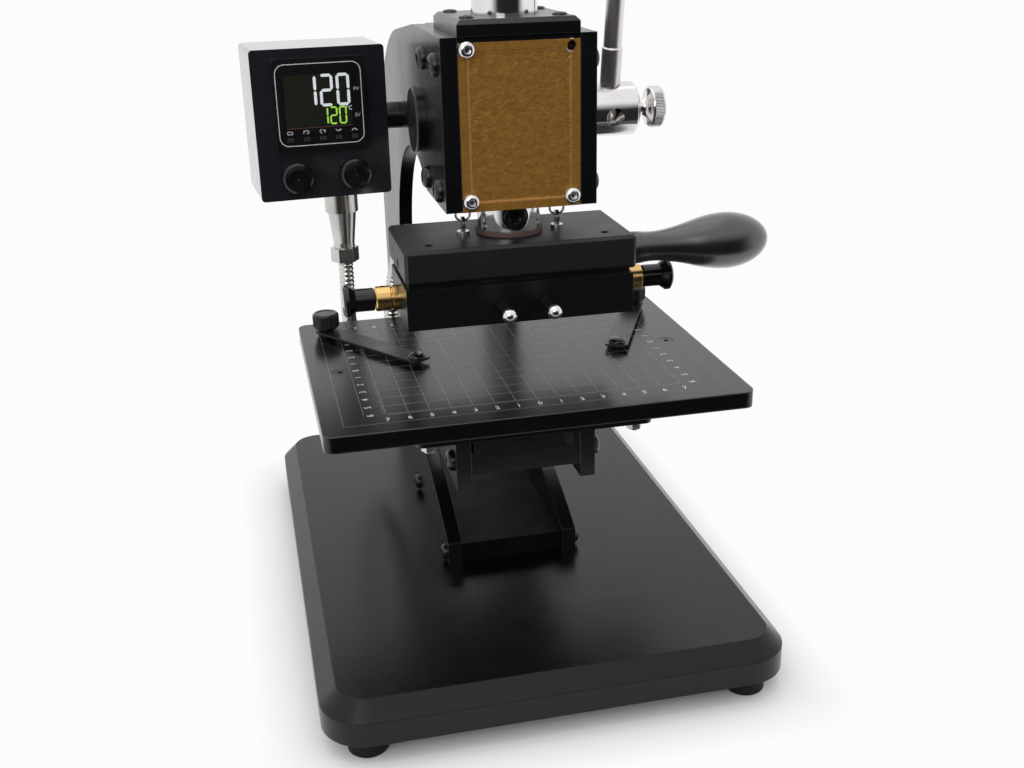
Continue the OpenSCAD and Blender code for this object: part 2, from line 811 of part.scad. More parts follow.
module hose_gland() {
    box_low = box_place[2];
    color("#a9abad") translate([gland_xy[0], gland_xy[1], 0]) difference() {
        rotate_extrude() polygon([[0, gland_low + 8], [6, gland_low + 8], [6, gland_low + 11],
            [8, box_low - 15], [9.25, box_low - 15], [9.25, box_low - 1], [8.75, box_low],
            [0, box_low]]);
        translate([0, 0, gland_low]) cylinder(d = hose_bore, h = box_low - gland_low + 1);
    }
}

module gland_nut() {
    color("#b9bbbd") translate([gland_xy[0], gland_xy[1], gland_low]) difference() {
        cylinder(d = 16, h = 8, $fn = 6);
        translate([0, 0, -1]) cylinder(d = hose_bore, h = 11);
    }
}

// Lever with its pinion

module pinion_shaft() {
    color("#c4c6c8") {
        along_x(-pinion_w / 2, pinion_w) translate([pinion_y, pinion_z]) gear_outline(pinion_teeth);
        rod_x(shaft_d, -cheek_out + 0.5, cheek_out + 15, pinion_y, pinion_z);
    }
}

// Places children in the lever's leaning frame: z along the lever, x along the pinion's axis
module in_lever() {
    translate([cheek_out + 0.6 + hub_l - lever_inset, pinion_y, pinion_z])
        rotate([lever_lean, 0, 0]) children();
}

module lever_hub() {
    hub_x = cheek_out + 0.6;
    color("#d5d7da") difference() {
        translate([hub_x, pinion_y, pinion_z]) rotate([0, 90, 0])
            rotate_extrude() polygon([[0, 0], [hub_d / 2 - 1, 0], [hub_d / 2, 1],
                [hub_d / 2, hub_l - 1.5], [hub_d / 2 - 1.5, hub_l], [0, hub_l]]);
        rod_x(shaft_d, hub_x - 1, cheek_out + 15.5, pinion_y, pinion_z);
        in_lever() translate([0, 0, -9]) cylinder(d = lever_d + 2 * bolt_fit, h = hub_d);
        in_lever() translate([0, 0, 0]) rotate([90, 0, 0])
            cylinder(d = lever_d + 2 * bolt_fit, h = hub_d);
        rod_x(6 + 2 * fit, hub_x + hub_l - lever_inset, hub_x + hub_l + 1, pinion_y, pinion_z);
    }
}

module lever_rod() {
    color("#cfd1d4") in_lever() {
        translate([0, 0, -9]) cylinder(d = lever_d, h = lever_l + 9);
        translate([0, 0, hub_d / 2 + 0.2]) rotate_extrude()
            polygon([[0, 0], [lever_root_d / 2, 0], [lever_root_d / 2, 17.5],
                [lever_root_d / 2 - 0.6, 18.2], [0, 18.2]]);
    }
}

module lever_grip() {
    half = grip_d / 2;
    start = lever_l - grip_l + 12;
    swell_r = 95;
    color("#151516") in_lever() translate([0, 0, start]) rotate_extrude() difference() {
        intersection() {
            translate([half - swell_r, grip_l * 0.58]) circle(swell_r, $fn = 128);
            square([half, grip_l]);
        }
        square([lever_d / 2 + bolt_fit, lever_l - start + 0.2]);
        translate([0, grip_l - 2]) square([half - 6, 3]);
    }
}

module hub_thumbscrew() {
    x = cheek_out + 0.6 + hub_l + gap;
    tip = lever_inset - lever_d / 2 - 1;
    color("#d5d7da") translate([x, pinion_y, pinion_z]) rotate([0, 90, 0])
        rotate_extrude() polygon([[0, -tip], [3, -tip], [3, 0], [4, 0], [4, 3.5], [6.5, 6],
            [9.2, 7.2], [9.8, 8], [9.8, 13], [9.2, 13.8], [5, 13.8], [4, 13.2], [0, 13.2]]);
}

// Ram with rack teeth milled into its back
module ram() {
    low = heater_top + washer_h;
    pitch = PI * gear_module;
    rack_y = ram_y + rack_pitch;
    rise = tooth_root * tan(pressure_angle);
    flat = tooth_tip * tan(pressure_angle);
    half = pitch / 4;
    top = frame_top + cap_t + ram_over;
    color("#d9dbde") difference() {
        translate([0, ram_y, 0]) rotate_extrude()
            polygon([[0, low], [ram_r, low], [ram_r, top - 2], [ram_r - 2, top], [0, top]]);
        along_x(-ram_r - 1, 2 * ram_r + 2) {
            translate([ram_y + ram_r - rack_tip_cut, pinion_z - 9 * pitch])
                square([5, 20 * pitch]);
            for (k = [-8:10])
                translate([rack_y, pinion_z + k * pitch])
                    polygon([[-tooth_root, rise - half - 0.05], [tooth_tip + 2, -half - flat - 0.8],
                        [tooth_tip + 2, half + flat + 0.8], [-tooth_root, half - rise + 0.05]]);
        }
        rod_y(12.5, ram_y - ram_r - 1, ram_y - ram_r + 5, 0, low + 7);
    }
}

module insulation_washer() {
    color("#8d7b5c") translate([0, ram_y, heater_top]) cylinder(d = ram_d + 2, h = washer_h);
}

module heater_block() {
    color("#232325") difference() {
        translate([0, heater_y, adapter_top + heater_h / 2]) intersection() {
            linear_extrude(heater_h, center = true) chamfered_rect(heater_w, heater_d, heater_chamfer);
            along_x(-heater_w / 2, heater_w) chamfered_rect(heater_d, heater_h, heater_chamfer);
            along_y(-heater_d / 2, heater_d) chamfered_rect(heater_w, heater_h, heater_chamfer);
        }
        cartridge_places() cylinder(d = 8 + 2 * fit, h = heater_w - 8, center = true);
        for (side = [-1, 1])
            translate([side * 42, heater_front + 10, heater_top - 6]) cylinder(d = 4, h = 7);
        rod_x(5, -heater_w / 2 - 1, -heater_w / 2 + 8, heater_y - 3.5, adapter_top + 4.7);
        rod_y(hose_bore, heater_back - 12, heater_back + 1, fitting_xz[0], fitting_xz[1]);
    }
}

// Axes of the two heating rods, across the heater block
module cartridge_places() {
    for (y = [-13, 13])
        translate([0, heater_y + y, adapter_top + heater_h / 2 - 1]) rotate([0, 90, 0]) children();
}

module heater_cartridges() {
    color("#c0b8a0") cartridge_places() cylinder(d = 8, h = heater_w - 10, center = true);
}

module adapter_plate() {
    color("#1a1a1b") translate([0, heater_y, chase_top]) linear_extrude(adapter_h)
        square([chase_w - 3, chase_d - 3], center = true);
}

module die_chase() {
    color("#232325") difference() {
        translate([0, heater_y, die_face]) linear_extrude(chase_h)
            square([chase_w, chase_d], center = true);
        translate([0, heater_y, die_face - 1]) linear_extrude(holder_h + 1)
            square([holder_w + 2 * bolt_fit, holder_d + 2 * bolt_fit], center = true);
        rod_x(plunger_pin + 2 * fit, -chase_w / 2 - 1, chase_w / 2 + 1, plunger_y, plunger_z);
        for (side = [-1, 1])
            rod_y(clamp_d + 2 * fit, chase_front - 1, heater_y, side * clamp_x, plunger_z);
    }
}

module die_holder() {
    color("#8c8e90") difference() {
        translate([0, heater_y, die_face]) linear_extrude(holder_h)
            square([holder_w, holder_d], center = true);
        for (side = [-1, 1])
            rod_x(plunger_pin + 0.4, side * holder_w / 2 - 4, side * holder_w / 2 + 4, plunger_y, plunger_z);
        for (x = [-30, 0, 30])
            translate([x - 8, heater_y - holder_d / 2 - 1, die_face - 1]) cube([16, holder_d + 2, 4]);
    }
}

module pear_handle() {
    bulb = pear_d / 2;
    widest = 0.686 * pear_l;
    neck = [[0.566, 0.014], [0.566, 0.058], [0.522, 0.124], [0.537, 0.216], [0.62, 0.309],
        [0.734, 0.403], [0.868, 0.496], [0.963, 0.591]];
    color("#1c1c1d") translate([heater_w / 2, pear_y, pear_z]) rotate([0, 90, 0])
        rotate_extrude() polygon(concat([[0, 0], [0.53 * bulb, 0]],
            [for (p = neck) [p[0] * bulb, p[1] * pear_l]],
            [for (a = [0:7.5:90]) [bulb * cos(a), widest + (pear_l - widest) * sin(a)]]));
}

// Tabs screwed into the heater block, with a hole for the springs' lower hooks
module spring_tabs() {
    color("#c8cacc")
    for (side = [-1, 1])
        translate([side * spring_x, spring_y, 0]) difference() {
            union() {
                translate([0, 0, heater_top]) cylinder(d = 6, h = 1.8);
                along_x(-0.8, 1.6) {
                    translate([0, tab_hole_z]) circle(tab_hole_d / 2 + 1.4);
                    translate([-2.2, heater_top + 1]) square([4.4, tab_hole_z - heater_top - 1]);
                }
            }
            rod_x(tab_hole_d, -3, 3, 0, tab_hole_z);
        }
}

module plunger_collars() {
    color("#c08a2e")
    for (side = [-1, 1])
        translate([side * chase_w / 2, plunger_y, plunger_z]) rotate([0, side * 90, 0])
            difference() {
                rotate_extrude() polygon([[plunger_pin / 2 + fit, 0], [collar_d / 2, 0],
                    [collar_d / 2, 3.5], [collar_d / 2 - 0.8, 3.8], [collar_d / 2 - 0.8, 4.4],
                    [collar_d / 2, 4.7], [collar_d / 2, collar_l - 0.8], [collar_d / 2 - 0.8, collar_l],
                    [plunger_pin / 2 + fit, collar_l]]);
                translate([0, 0, 8]) rotate([90, 0, 90]) translate([0, 0, 3.5]) cylinder(d = 2.4, h = 4);
            }
}

module index_plunger(side) {
    start = collar_l + gap;
    tip = chase_w / 2 - holder_w / 2 + 2.5;
    r = plunger_d / 2;
    color("#121213") translate([side * chase_w / 2, plunger_y, plunger_z]) rotate([0, side * 90, 0])
        rotate_extrude() polygon([[0, -tip], [plunger_pin / 2 - 0.8, -tip], [plunger_pin / 2, 0.8 - tip],
            [plunger_pin / 2, start], [5, start], [5.5, start + 0.5], [5.5, start + 9],
            [r - 0.6, start + 11.4], [r, start + 12.2], [r, start + 13.8], [r - 1.2, start + 14.8],
            [0, start + 15]]);
}

module left_plunger() {
    index_plunger(-1);
}

module right_plunger() {
    index_plunger(1);
}

module clamp_screw(side) {
    ball = 7;
    tip = heater_y - holder_d / 2 - gap;
    color("#2a2a2c") {
        rod_y(clamp_d, chase_front - clamp_reach + ball - 0.4, tip, side * clamp_x, plunger_z);
        translate([side * clamp_x, chase_front - clamp_reach + ball / 2, plunger_z]) sphere(d = ball);
    }
}

module left_clamp_screw() {
    clamp_screw(-1);
}

module right_clamp_screw() {
    clamp_screw(1);
}

module hose_fitting() {
    color("#b4b6b8") translate([fitting_xz[0], 0, fitting_xz[1]]) rotate([-90, 0, 0])
        difference() {
            union() {
                translate([0, 0, heater_back]) cylinder(d = fitting_hex, h = 6, $fn = 6);
                translate([0, 0, heater_back + 5]) cylinder(d = fitting_d, h = fitting_end - heater_back - 5);
            }
            translate([0, 0, heater_back - 1]) cylinder(d = hose_bore, h = 40);
        }
}

// Table on its dovetail slide

module stud_places() {
    for (x = [-1, 1], y = [-1, 1])
        translate([x * (carriage_w / 2 - 7), table_y + y * (carriage_d / 2 - 8), 0]) children();
}

module side_screw_places() {
    for (x = [-1, 1])
        translate([x * (table_w / 2 - 15.4), table_y, 0]) children();
}

module hold_place(side) {
    translate([side * (table_w / 2 - hold_inset_x), table_y + table_d / 2 - hold_inset_y, 0]) children();
}

module table_plate() {
    color("#18181a") difference() {
        translate([0, table_y, table_low]) linear_extrude(table_t) rounded_rect(table_w, table_d, 5);
        stud_places() translate([0, 0, table_low - 1]) cylinder(d = 5 + 2 * bolt_fit, h = table_t - 2);
        side_screw_places() translate([0, 0, table_low - 1]) {
            cylinder(d = 4 + 2 * bolt_fit, h = table_t + 2);
            translate([0, 0, table_t - 1.5]) cylinder(d1 = 4 + 2 * bolt_fit, d2 = 8.4, h = 2.5);
            translate([0, 0, table_t + 1 - eps]) cylinder(d = 8.4, h = 2);
        }
        for (side = [-1, 1])
            hold_place(side) translate([0, 0, table_low - 1]) cylinder(d = 5 + 2 * fit, h = table_t + 2);
    }
}

module table_carriage() {
    color("#1d1d1f") difference() {
        union() {
            translate([0, table_y, carriage_low]) linear_extrude(carriage_t)
                rounded_rect(carriage_w, carriage_d, 4);
            along_y(arm_front + 1, slide_l)
                polygon([[-slide_left, slide_low], [slide_right, slide_low],
                    [slide_right - dovetail, slide_top + 1], [slide_right - dovetail, carriage_low + eps],
                    [dovetail - slide_left, carriage_low + eps], [dovetail - slide_left, slide_top + 1]]);
        }
        stud_places() translate([0, 0, carriage_low - 1]) cylinder(d = 5 + 2 * bolt_fit, h = carriage_t + 2);
    }
}

// Studs with flanged nuts under the carriage, and two countersunk screws in the table
module table_screws() {
    color("#c8cacc") {
        stud_places() translate([0, 0, carriage_low]) {
            translate([0, 0, -1]) cylinder(d = 9.6, h = 1);
            translate([0, 0, -4.6]) cylinder(d = 7.6, h = 3.7, $fn = 6);
            translate([0, 0, -5.4]) cylinder(d = 5, h = carriage_t + 5.4 + table_t - 4);
        }
        side_screw_places() difference() {
            union() {
                translate([0, 0, table_low + 1]) cylinder(d = 4, h = table_t - 2);
                translate([0, 0, table_top - 2.3]) cylinder(d1 = 4, d2 = 8, h = 2.2);
            }
            translate([0, 0, table_top - 2]) cylinder(d = 2.9, h = 3, $fn = 6);
        }
    }
}

hold_lift = 2;
hold_t = 1.2;
left_aim = -55;
right_aim = -115;

module hold_arm(side, aim) {
    color("#1a1a1c") hold_place(side) rotate(aim) difference() {
        union() {
            translate([0, 0, table_top + hold_lift]) linear_extrude(hold_t) {
                circle(d = hold_w);
                translate([0, -hold_w / 2]) square([hold_l - 3, hold_w]);
                translate([hold_l - 3, 0]) rounded_rect(6, hold_w, 2);
            }
            translate([0, 0, table_top + gap]) cylinder(d = 9, h = hold_lift);
            translate([hold_l - 6, 0, table_top + gap]) cylinder(d = 6, h = hold_lift);
            translate([hold_l - 6, 0, table_top + hold_lift + hold_t - eps])
                cylinder(d1 = 6, d2 = 4.4, h = 1.2);
        }
        cylinder(d = 5 + 2 * fit, h = 2 * table_top);
    }
}

module left_hold_arm() {
    hold_arm(-1, left_aim);
}

module right_hold_arm() {
    hold_arm(1, right_aim);
}

module hold_knob(side) {
    low = table_top + hold_lift + hold_t + gap;
    r = hold_knob_d / 2;
    color("#141415") hold_place(side) rotate_extrude()
        polygon([[0, table_low + 1], [2.5, table_low + 1], [2.5, low], [4.2, low], [4.2, low + 1.2],
            [r - 0.5, low + 1.2], [r, low + 1.8], [r, low + 8.4], [r - 0.8, low + 9.2],
            [r - 2, low + 9.2], [r - 2.4, low + 8.9], [0, low + 8.9]]);
}

module left_hold_knob() {
    hold_knob(-1);
}

module right_hold_knob() {
    hold_knob(1);
}

// Return springs: a lower hook, a straight tail, the curls, and the same again turned over
spring_low = tab_hole_z + tab_hole_d / 2 - spring_wire / 2 - 0.1 + spring_r;
spring_high = spring_pin_z - spring_r + spring_pin_d / 2 + spring_wire / 2 + 0.1;
spring_mid = (spring_low + spring_high) / 2;
curl_low = spring_low + 17;
curl_pitch = (2 * (spring_mid - curl_low)) / spring_curls;
curl_steps = 8;
curl_lead = 5;
function lead(u) = u < 0.5 ? curl_lead * pow(1 - 2 * u, 2) : 0;
half_spring = concat(
    [for (a = [110:25:360]) [spring_r * cos(a), 0, spring_low + spring_r * sin(a)]],
    [for (k = [1:3]) [spring_r, 0, spring_low + (curl_low - curl_lead - spring_low) * k / 4]],
    [for (i = [0:spring_curls * curl_steps / 2])
        let (u = i / curl_steps)
        [spring_r * cos(360 * u), spring_r * sin(360 * u), curl_low + curl_pitch * u - lead(u)]]);
spring_path = concat(half_spring,
    [for (i = [len(half_spring) - 2:-1:0])
        [half_spring[i][0], -half_spring[i][1], 2 * spring_mid - half_spring[i][2]]]);
curl_gap = norm([0, 0, curl_pitch]) - spring_wire;
curl_points = [for (p = spring_path) if (p[2] > curl_low && p[2] < 2 * spring_mid - curl_low) p];
spring_gap = min([for (i = [0:len(curl_points) - 1], j = [i + 5:1:len(curl_points) - 1])
    norm(curl_points[i] - curl_points[j])]) - spring_wire;
echo(spring_gap_mm = spring_gap, curl_gap_mm = curl_gap);  // return_springs

module return_springs() {
    sides = 6;
    rings = len(spring_path);
    points = tube_rings(spring_path, [for (p = spring_path) spring_wire / 2], sides, [0, 1, 0]);
    faces = concat(tube_sides(rings, sides), disc(0, sides, false), disc((rings - 1) * sides, sides, true));
    color("#c8cacc")
    for (side = [-1, 1])
        translate([side * spring_x, spring_y, 0]) polyhedron(points, faces);
}

// Ribbed hose: a smooth curve through the route, with a crest and a root for each rib
function curve_point(p, i, t) =
    let (n = len(p) - 1,
        a = p[max(i - 1, 0)],
        b = p[i],
        c = p[min(i + 1, n)],
        d = p[min(i + 2, n)])
    0.5 * (2 * b + (c - a) * t + (2 * a - 5 * b + 4 * c - d) * t * t + (3 * b - a - 3 * c + d) * t * t * t);
curve_steps = 8;
hose_fine = concat(
    [for (i = [0:len(hose_route) - 2], k = [0:curve_steps - 1]) curve_point(hose_route, i, k / curve_steps)],
    [hose_route[len(hose_route) - 1]]);
hose_runs = [for (i = 0, s = 0; i < len(hose_fine);
    i = i + 1, s = i < len(hose_fine) ? s + norm(hose_fine[i] - hose_fine[i - 1]) : s) s];
hose_length = hose_runs[len(hose_runs) - 1];
function hose_at(s) =
    let (i = max([for (k = [0:len(hose_runs) - 2]) if (hose_runs[k] <= s) k]),
        t = (s - hose_runs[i]) / (hose_runs[i + 1] - hose_runs[i]))
    hose_fine[i] + (hose_fine[i + 1] - hose_fine[i]) * t;
echo(hose_length_mm = hose_length);  // heater_hose

module heater_hose() {
    sides = 8;
    plain_end = hose_d;
    rib_count = floor((hose_length - 2 * plain_end) / rib_pitch);
    rib_start = (hose_length - rib_count * rib_pitch) / 2;
    root_r = hose_d / 2 - 0.55;
    runs = concat([0],
        [for (k = [0:2 * rib_count]) rib_start + k * rib_pitch / 2],
        [hose_length]);
    last = len(runs) - 1;
    outer_path = [for (s = runs) hose_at(min(s, hose_length - eps))];
    outer_r = [for (k = [0:last]) k == 0 || k == last || k % 2 == 1 ? root_r : hose_d / 2];
    bore_runs = [for (k = [0:40]) hose_length * k / 40];
    bore_path = [for (s = bore_runs) hose_at(min(s, hose_length - eps))];
    outer_rings = len(outer_path);
    bore_rings = len(bore_path);
    shift = outer_rings * sides;
    points = concat(tube_rings(outer_path, outer_r, sides, [1, 0, 0]),
        tube_rings(bore_path, [for (s = bore_runs) hose_bore / 2], sides, [1, 0, 0]));
    faces = concat(tube_sides(outer_rings, sides), tube_sides(bore_rings, sides, shift, true),
        collar(0, shift, sides, false),
        collar((outer_rings - 1) * sides, shift + (bore_rings - 1) * sides, sides, true));
    color("#b7b9bb") polyhedron(points, faces);
}

base_plate();
rubber_feet();
left_cheek();
right_cheek();
foot_block();
anvil_block();
head_block();
head_cap();
ram_bushes();
pinion_bushes();
pinion_cover();
nameplate();
button_screws();
cheek_bolts();
spring_pins();
gib_strip();
controller_box();
controller_back();
panel_instrument();
display_window();
box_post();
hose_gland();
gland_nut();
power_inlet();
pinion_shaft();
lever_hub();
lever_rod();
lever_grip();
hub_thumbscrew();
ram();
insulation_washer();
heater_block();
heater_cartridges();
adapter_plate();
die_chase();
die_holder();
pear_handle();
spring_tabs();
plunger_collars();
hose_fitting();
left_plunger();
right_plunger();
left_clamp_screw();
right_clamp_screw();
table_plate();
table_carriage();
table_screws();
left_hold_arm();
right_hold_arm();
left_hold_knob();
right_hold_knob();
key_1();
key_2();
key_3();
key_4();
key_5();
left_button();
right_button();
return_springs();
heater_hose();
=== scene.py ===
"""Looks of a bench hot foil stamping machine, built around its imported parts."""

import math

import bmesh
import bpy
from mathutils import Matrix, Vector, noise


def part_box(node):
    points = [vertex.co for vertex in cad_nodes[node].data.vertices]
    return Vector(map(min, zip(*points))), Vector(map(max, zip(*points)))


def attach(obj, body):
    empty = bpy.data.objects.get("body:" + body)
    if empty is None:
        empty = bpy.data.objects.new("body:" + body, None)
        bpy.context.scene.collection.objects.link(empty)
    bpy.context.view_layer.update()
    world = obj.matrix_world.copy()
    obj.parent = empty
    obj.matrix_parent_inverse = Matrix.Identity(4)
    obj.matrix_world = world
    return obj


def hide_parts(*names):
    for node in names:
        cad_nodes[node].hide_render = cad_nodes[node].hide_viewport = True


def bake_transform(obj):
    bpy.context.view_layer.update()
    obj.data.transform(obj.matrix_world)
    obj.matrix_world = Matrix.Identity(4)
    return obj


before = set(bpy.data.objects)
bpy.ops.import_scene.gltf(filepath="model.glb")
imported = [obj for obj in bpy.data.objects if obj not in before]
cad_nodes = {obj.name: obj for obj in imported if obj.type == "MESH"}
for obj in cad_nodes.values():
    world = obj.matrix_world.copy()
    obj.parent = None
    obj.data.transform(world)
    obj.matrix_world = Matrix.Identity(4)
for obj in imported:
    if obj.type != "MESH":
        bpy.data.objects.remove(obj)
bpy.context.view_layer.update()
MM = 0.001
SIDES = ("left", "right")


# The camera comes first, because the hose's room is judged from it

CAMERA_PLACE = Vector((-0.1245, -0.6072, 0.3538))
CAMERA_YAW = math.radians(12.665)
CAMERA_PITCH = math.radians(21.19)
CAMERA_ROLL = math.radians(-1.279)
CAMERA_LENS = 42.45

camera = bpy.data.cameras.new("photo_camera")
camera.lens = CAMERA_LENS
camera.sensor_width = 36
camera.clip_start = 0.01
viewer = bpy.data.objects.new("photo_camera", camera)
viewer.matrix_world = (
    Matrix.Translation(CAMERA_PLACE)
    @ Matrix.Rotation(-CAMERA_YAW, 4, "Z")
    @ Matrix.Rotation(math.pi / 2 - CAMERA_PITCH, 4, "X")
    @ Matrix.Rotation(CAMERA_ROLL, 4, "Z")
)
bpy.context.scene.collection.objects.link(viewer)
bpy.context.scene.camera = viewer


# Finishes: each one is a shader with patterns on Object coordinates

def shader_of(material):
    return material.node_tree.nodes["Principled BSDF"]


def join(material, output, socket):
    material.node_tree.links.new(output, socket)


def combine(tree, operation, first, second):
    """A Math node on two values."""
    node = tree.nodes.new("ShaderNodeMath")
    node.operation = operation
    tree.links.new(first, node.inputs[0])
    tree.links.new(second, node.inputs[1])
    return node.outputs["Value"]


def shade(colour, share):
    """A colour made darker or lighter, but not past white."""
    return [min(1, share * part) for part in colour]


def finish(name, colour, roughness, metallic=0.0, **sockets):
    """A plain shader, to which the functions below add tone, gloss and grain."""
    material = bpy.data.materials.new(name)
    material.use_nodes = True
    material.diffuse_color = (*colour, 1)
    inputs = shader_of(material).inputs
    inputs["Base Color"].default_value = (*colour, 1)
    inputs["Roughness"].default_value = roughness
    inputs["Metallic"].default_value = metallic
    for socket, value in sockets.items():
        inputs[socket.replace("_", " ")].default_value = value
    return material


def place_on(material, stretch=(1, 1, 1)):
    """Object coordinates, stretched along the axes."""
    tree = material.node_tree
    coordinates = tree.nodes.new("ShaderNodeTexCoord")
    mapping = tree.nodes.new("ShaderNodeMapping")
    mapping.inputs["Scale"].default_value = stretch
    join(material, coordinates.outputs["Object"], mapping.inputs["Vector"])
    return mapping.outputs["Vector"]


def cloud(material, scale, stretch=(1, 1, 1), detail=3.0):
    """A soft noise between 0 and 1, with about `scale` clouds in a metre."""
    node = material.node_tree.nodes.new("ShaderNodeTexNoise")
    node.inputs["Scale"].default_value = scale
    node.inputs["Detail"].default_value = detail
    join(material, place_on(material, stretch), node.inputs["Vector"])
    return node.outputs["Fac"]


def set_range(node, start, end, low, high):
    """Makes a Map Range node stretch start...end to low...high."""
    numbers = {"From Min": start, "From Max": end, "To Min": low, "To Max": high}
    for socket, number in numbers.items():
        node.inputs[socket].default_value = number


def spread(material, value, low, high, start=0.3, end=0.7):
    """Stretches a value from start...end to low...high."""
    node = material.node_tree.nodes.new("ShaderNodeMapRange")
    set_range(node, start, end, low, high)
    join(material, value, node.inputs["Value"])
    return node.outputs["Result"]


def toned(material, value, dark, light, start=0.3, end=0.7):
    """Base colour that goes from dark to light with a value."""
    ramp = material.node_tree.nodes.new("ShaderNodeValToRGB")
    for stop, position, colour in zip(ramp.color_ramp.elements, (start, end), (dark, light)):
        stop.position = position
        stop.color = (*colour, 1)
    join(material, value, ramp.inputs["Fac"])
    join(material, ramp.outputs["Color"], shader_of(material).inputs["Base Color"])


def glossed(material, value, low, high):
    """Roughness that goes from low to high with a value."""
    join(material, spread(material, value, low, high), shader_of(material).inputs["Roughness"])


def rounded_normal(material, radius, samples):
    """The surface's normal, as if its edges were rounded."""
    edge = material.node_tree.nodes.new("ShaderNodeBevel")
    edge.samples = samples
    edge.inputs["Radius"].default_value = radius
    return edge.outputs["Normal"]


def grained(material, value, depth, strength=1.0, rounding=None):
    """Relief of a given depth, over edges that catch the light as if rounded."""
    relief = material.node_tree.nodes.new("ShaderNodeBump")
    relief.inputs["Strength"].default_value = strength
    relief.inputs["Distance"].default_value = depth
    join(material, value, relief.inputs["Height"])
    if rounding:
        join(material, rounded_normal(material, rounding, 4), relief.inputs["Normal"])
    join(material, relief.outputs["Normal"], shader_of(material).inputs["Normal"])


def rub_edges(material, rounding, tone):
    """A lighter tone along the edges, where the rounded normal leaves the face's own: partly edge wear,
    partly a painted highlight.
    """
    tree = material.node_tree
    face = tree.nodes.new("ShaderNodeNewGeometry")
    agree = tree.nodes.new("ShaderNodeVectorMath")
    agree.operation = "DOT_PRODUCT"
    join(material, rounded_normal(material, rounding, 6), agree.inputs[0])
    join(material, face.outputs["True Normal"], agree.inputs[1])
    worn_and_lit_edge_mix = tree.nodes.new("ShaderNodeMix")
    worn_and_lit_edge_mix.data_type = "RGBA"
    base = shader_of(material).inputs["Base Color"]
    join(material, spread(material, agree.outputs["Value"], 1, 0, 0.8, 0.98), worn_and_lit_edge_mix.inputs["Factor"])
    colours = [socket for socket in worn_and_lit_edge_mix.inputs if socket.type == "RGBA"]
    join(material, base.links[0].from_socket, colours[0])
    colours[1].default_value = (*tone, 1)
    join(material, next(socket for socket in worn_and_lit_edge_mix.outputs if socket.type == "RGBA"), base)


def coated_metal(name, colour, gloss, grain_scale, depth, rounding=0.5 * MM, **sockets):
    """Black coated metal: nearly even tone, uneven gloss and a fine grain."""
    material = finish(name, colour, gloss[0], **sockets)
    toned(material, cloud(material, 38, detail=5), shade(colour, 0.9), shade(colour, 1.12))
    glossed(material, cloud(material, 70), *gloss)
    grained(material, cloud(material, grain_scale, detail=2), depth, 0.5, rounding)
    return material


def plated_metal(name, colour, gloss, streaks=(1, 1, 1), depth=0.004 * MM, rounding=0.3 * MM):
    """Bright metal with faint streaks from turning or drawing."""
    material = finish(name, colour, gloss[0], metallic=1.0)
    toned(material, cloud(material, 60), shade(colour, 0.88), shade(colour, 1.06))
    glossed(material, cloud(material, 140, streaks, detail=4), *gloss)
    grained(material, cloud(material, 900, streaks, detail=2), depth, 0.35, rounding)
    return material


def moulded_plastic(name, colour, gloss, grain_scale, depth, **sockets):
    """Plastic with a fine mould grain."""
    material = finish(name, colour, gloss[0], **sockets)
    toned(material, cloud(material, 55, detail=4), shade(colour, 0.85), shade(colour, 1.2))
    glossed(material, cloud(material, 260), *gloss)
    grained(material, cloud(material, grain_scale, detail=2), depth, 0.4)
    return material


def printed_ink(name, colour):
    """Screen-print ink with slightly uneven cover."""
    material = finish(name, colour, 0.24)
    toned(material, cloud(material, 700), shade(colour, 0.8), colour)
    return material


def lit_segments(name, colour, strength):
    """Lit display segments, a little uneven along the bars."""
    material = finish(name, colour, 0.4, Emission_Color=(*colour, 1), Emission_Strength=strength)
    toned(material, cloud(material, 500), shade(colour, 0.86), colour)
    return material


ALONG_Y = (1, 0.02, 1)
ALONG_Z = (1, 1, 0.02)
ROUND_X = (1, 0.05, 0.05)

# Coated metals and plastics: colour, lowest and highest roughness, grains in a metre, depth of the
# grain, and for metal the radius at which its edges catch the light
frame_black = coated_metal("frame_black", (0.0023, 0.0027, 0.0041), (0.25, 0.28), 2600, 0.0003 * MM)
foot_black = coated_metal("foot_black", (0.0025, 0.0025, 0.0028), (0.5, 0.6), 2600, 0.004 * MM,
                          Specular_IOR_Level=0.12)
base_black = coated_metal("base_black", (0.0018, 0.002, 0.0027), (0.26, 0.3), 2100, 0.001 * MM,
                          0.7 * MM, Specular_IOR_Level=0.33)
table_black = coated_metal("table_black", (0.0032, 0.0034, 0.0045), (0.21, 0.23), 3200, 0.0008 * MM,
                           1.2 * MM)
head_black = coated_metal("head_black", (0.0055, 0.0053, 0.0054), (0.43, 0.48), 2300, 0.004 * MM,
                          0.4 * MM)
box_black = coated_metal("box_black", (0.012, 0.0124, 0.0175), (0.26, 0.3), 2900, 0.0005 * MM,
                         Coat_Weight=1.0, Coat_Roughness=0.12, Coat_IOR=1.7)
chase_black = coated_metal("chase_black", (0.0022, 0.0025, 0.0034), (0.34, 0.38), 2300, 0.003 * MM,
                           0.4 * MM)
blued_steel = coated_metal("blued_steel", (0.008, 0.008, 0.009), (0.26, 0.38), 1700, 0.004 * MM,
                           0.2 * MM)
oxide_black = coated_metal("oxide_black", (0.006, 0.006, 0.0066), (0.24, 0.34), 2600, 0.004 * MM,
                           0.25 * MM)
panel_black = moulded_plastic("panel_black", (0.004, 0.0042, 0.0055), (0.28, 0.36), 4200, 0.004 * MM)
key_grey = moulded_plastic("key_grey", (0.03, 0.03, 0.033), (0.36, 0.46), 4200, 0.004 * MM)
button_black = moulded_plastic("button_black", (0.0035, 0.0035, 0.004), (0.22, 0.28), 3600, 0.004 * MM)
grip_black = moulded_plastic("grip_black", (0.008, 0.008, 0.0086), (0.16, 0.22), 3000, 0.004 * MM)
pull_black = moulded_plastic("pull_black", (0.005, 0.005, 0.0056), (0.09, 0.16), 2600, 0.002 * MM)
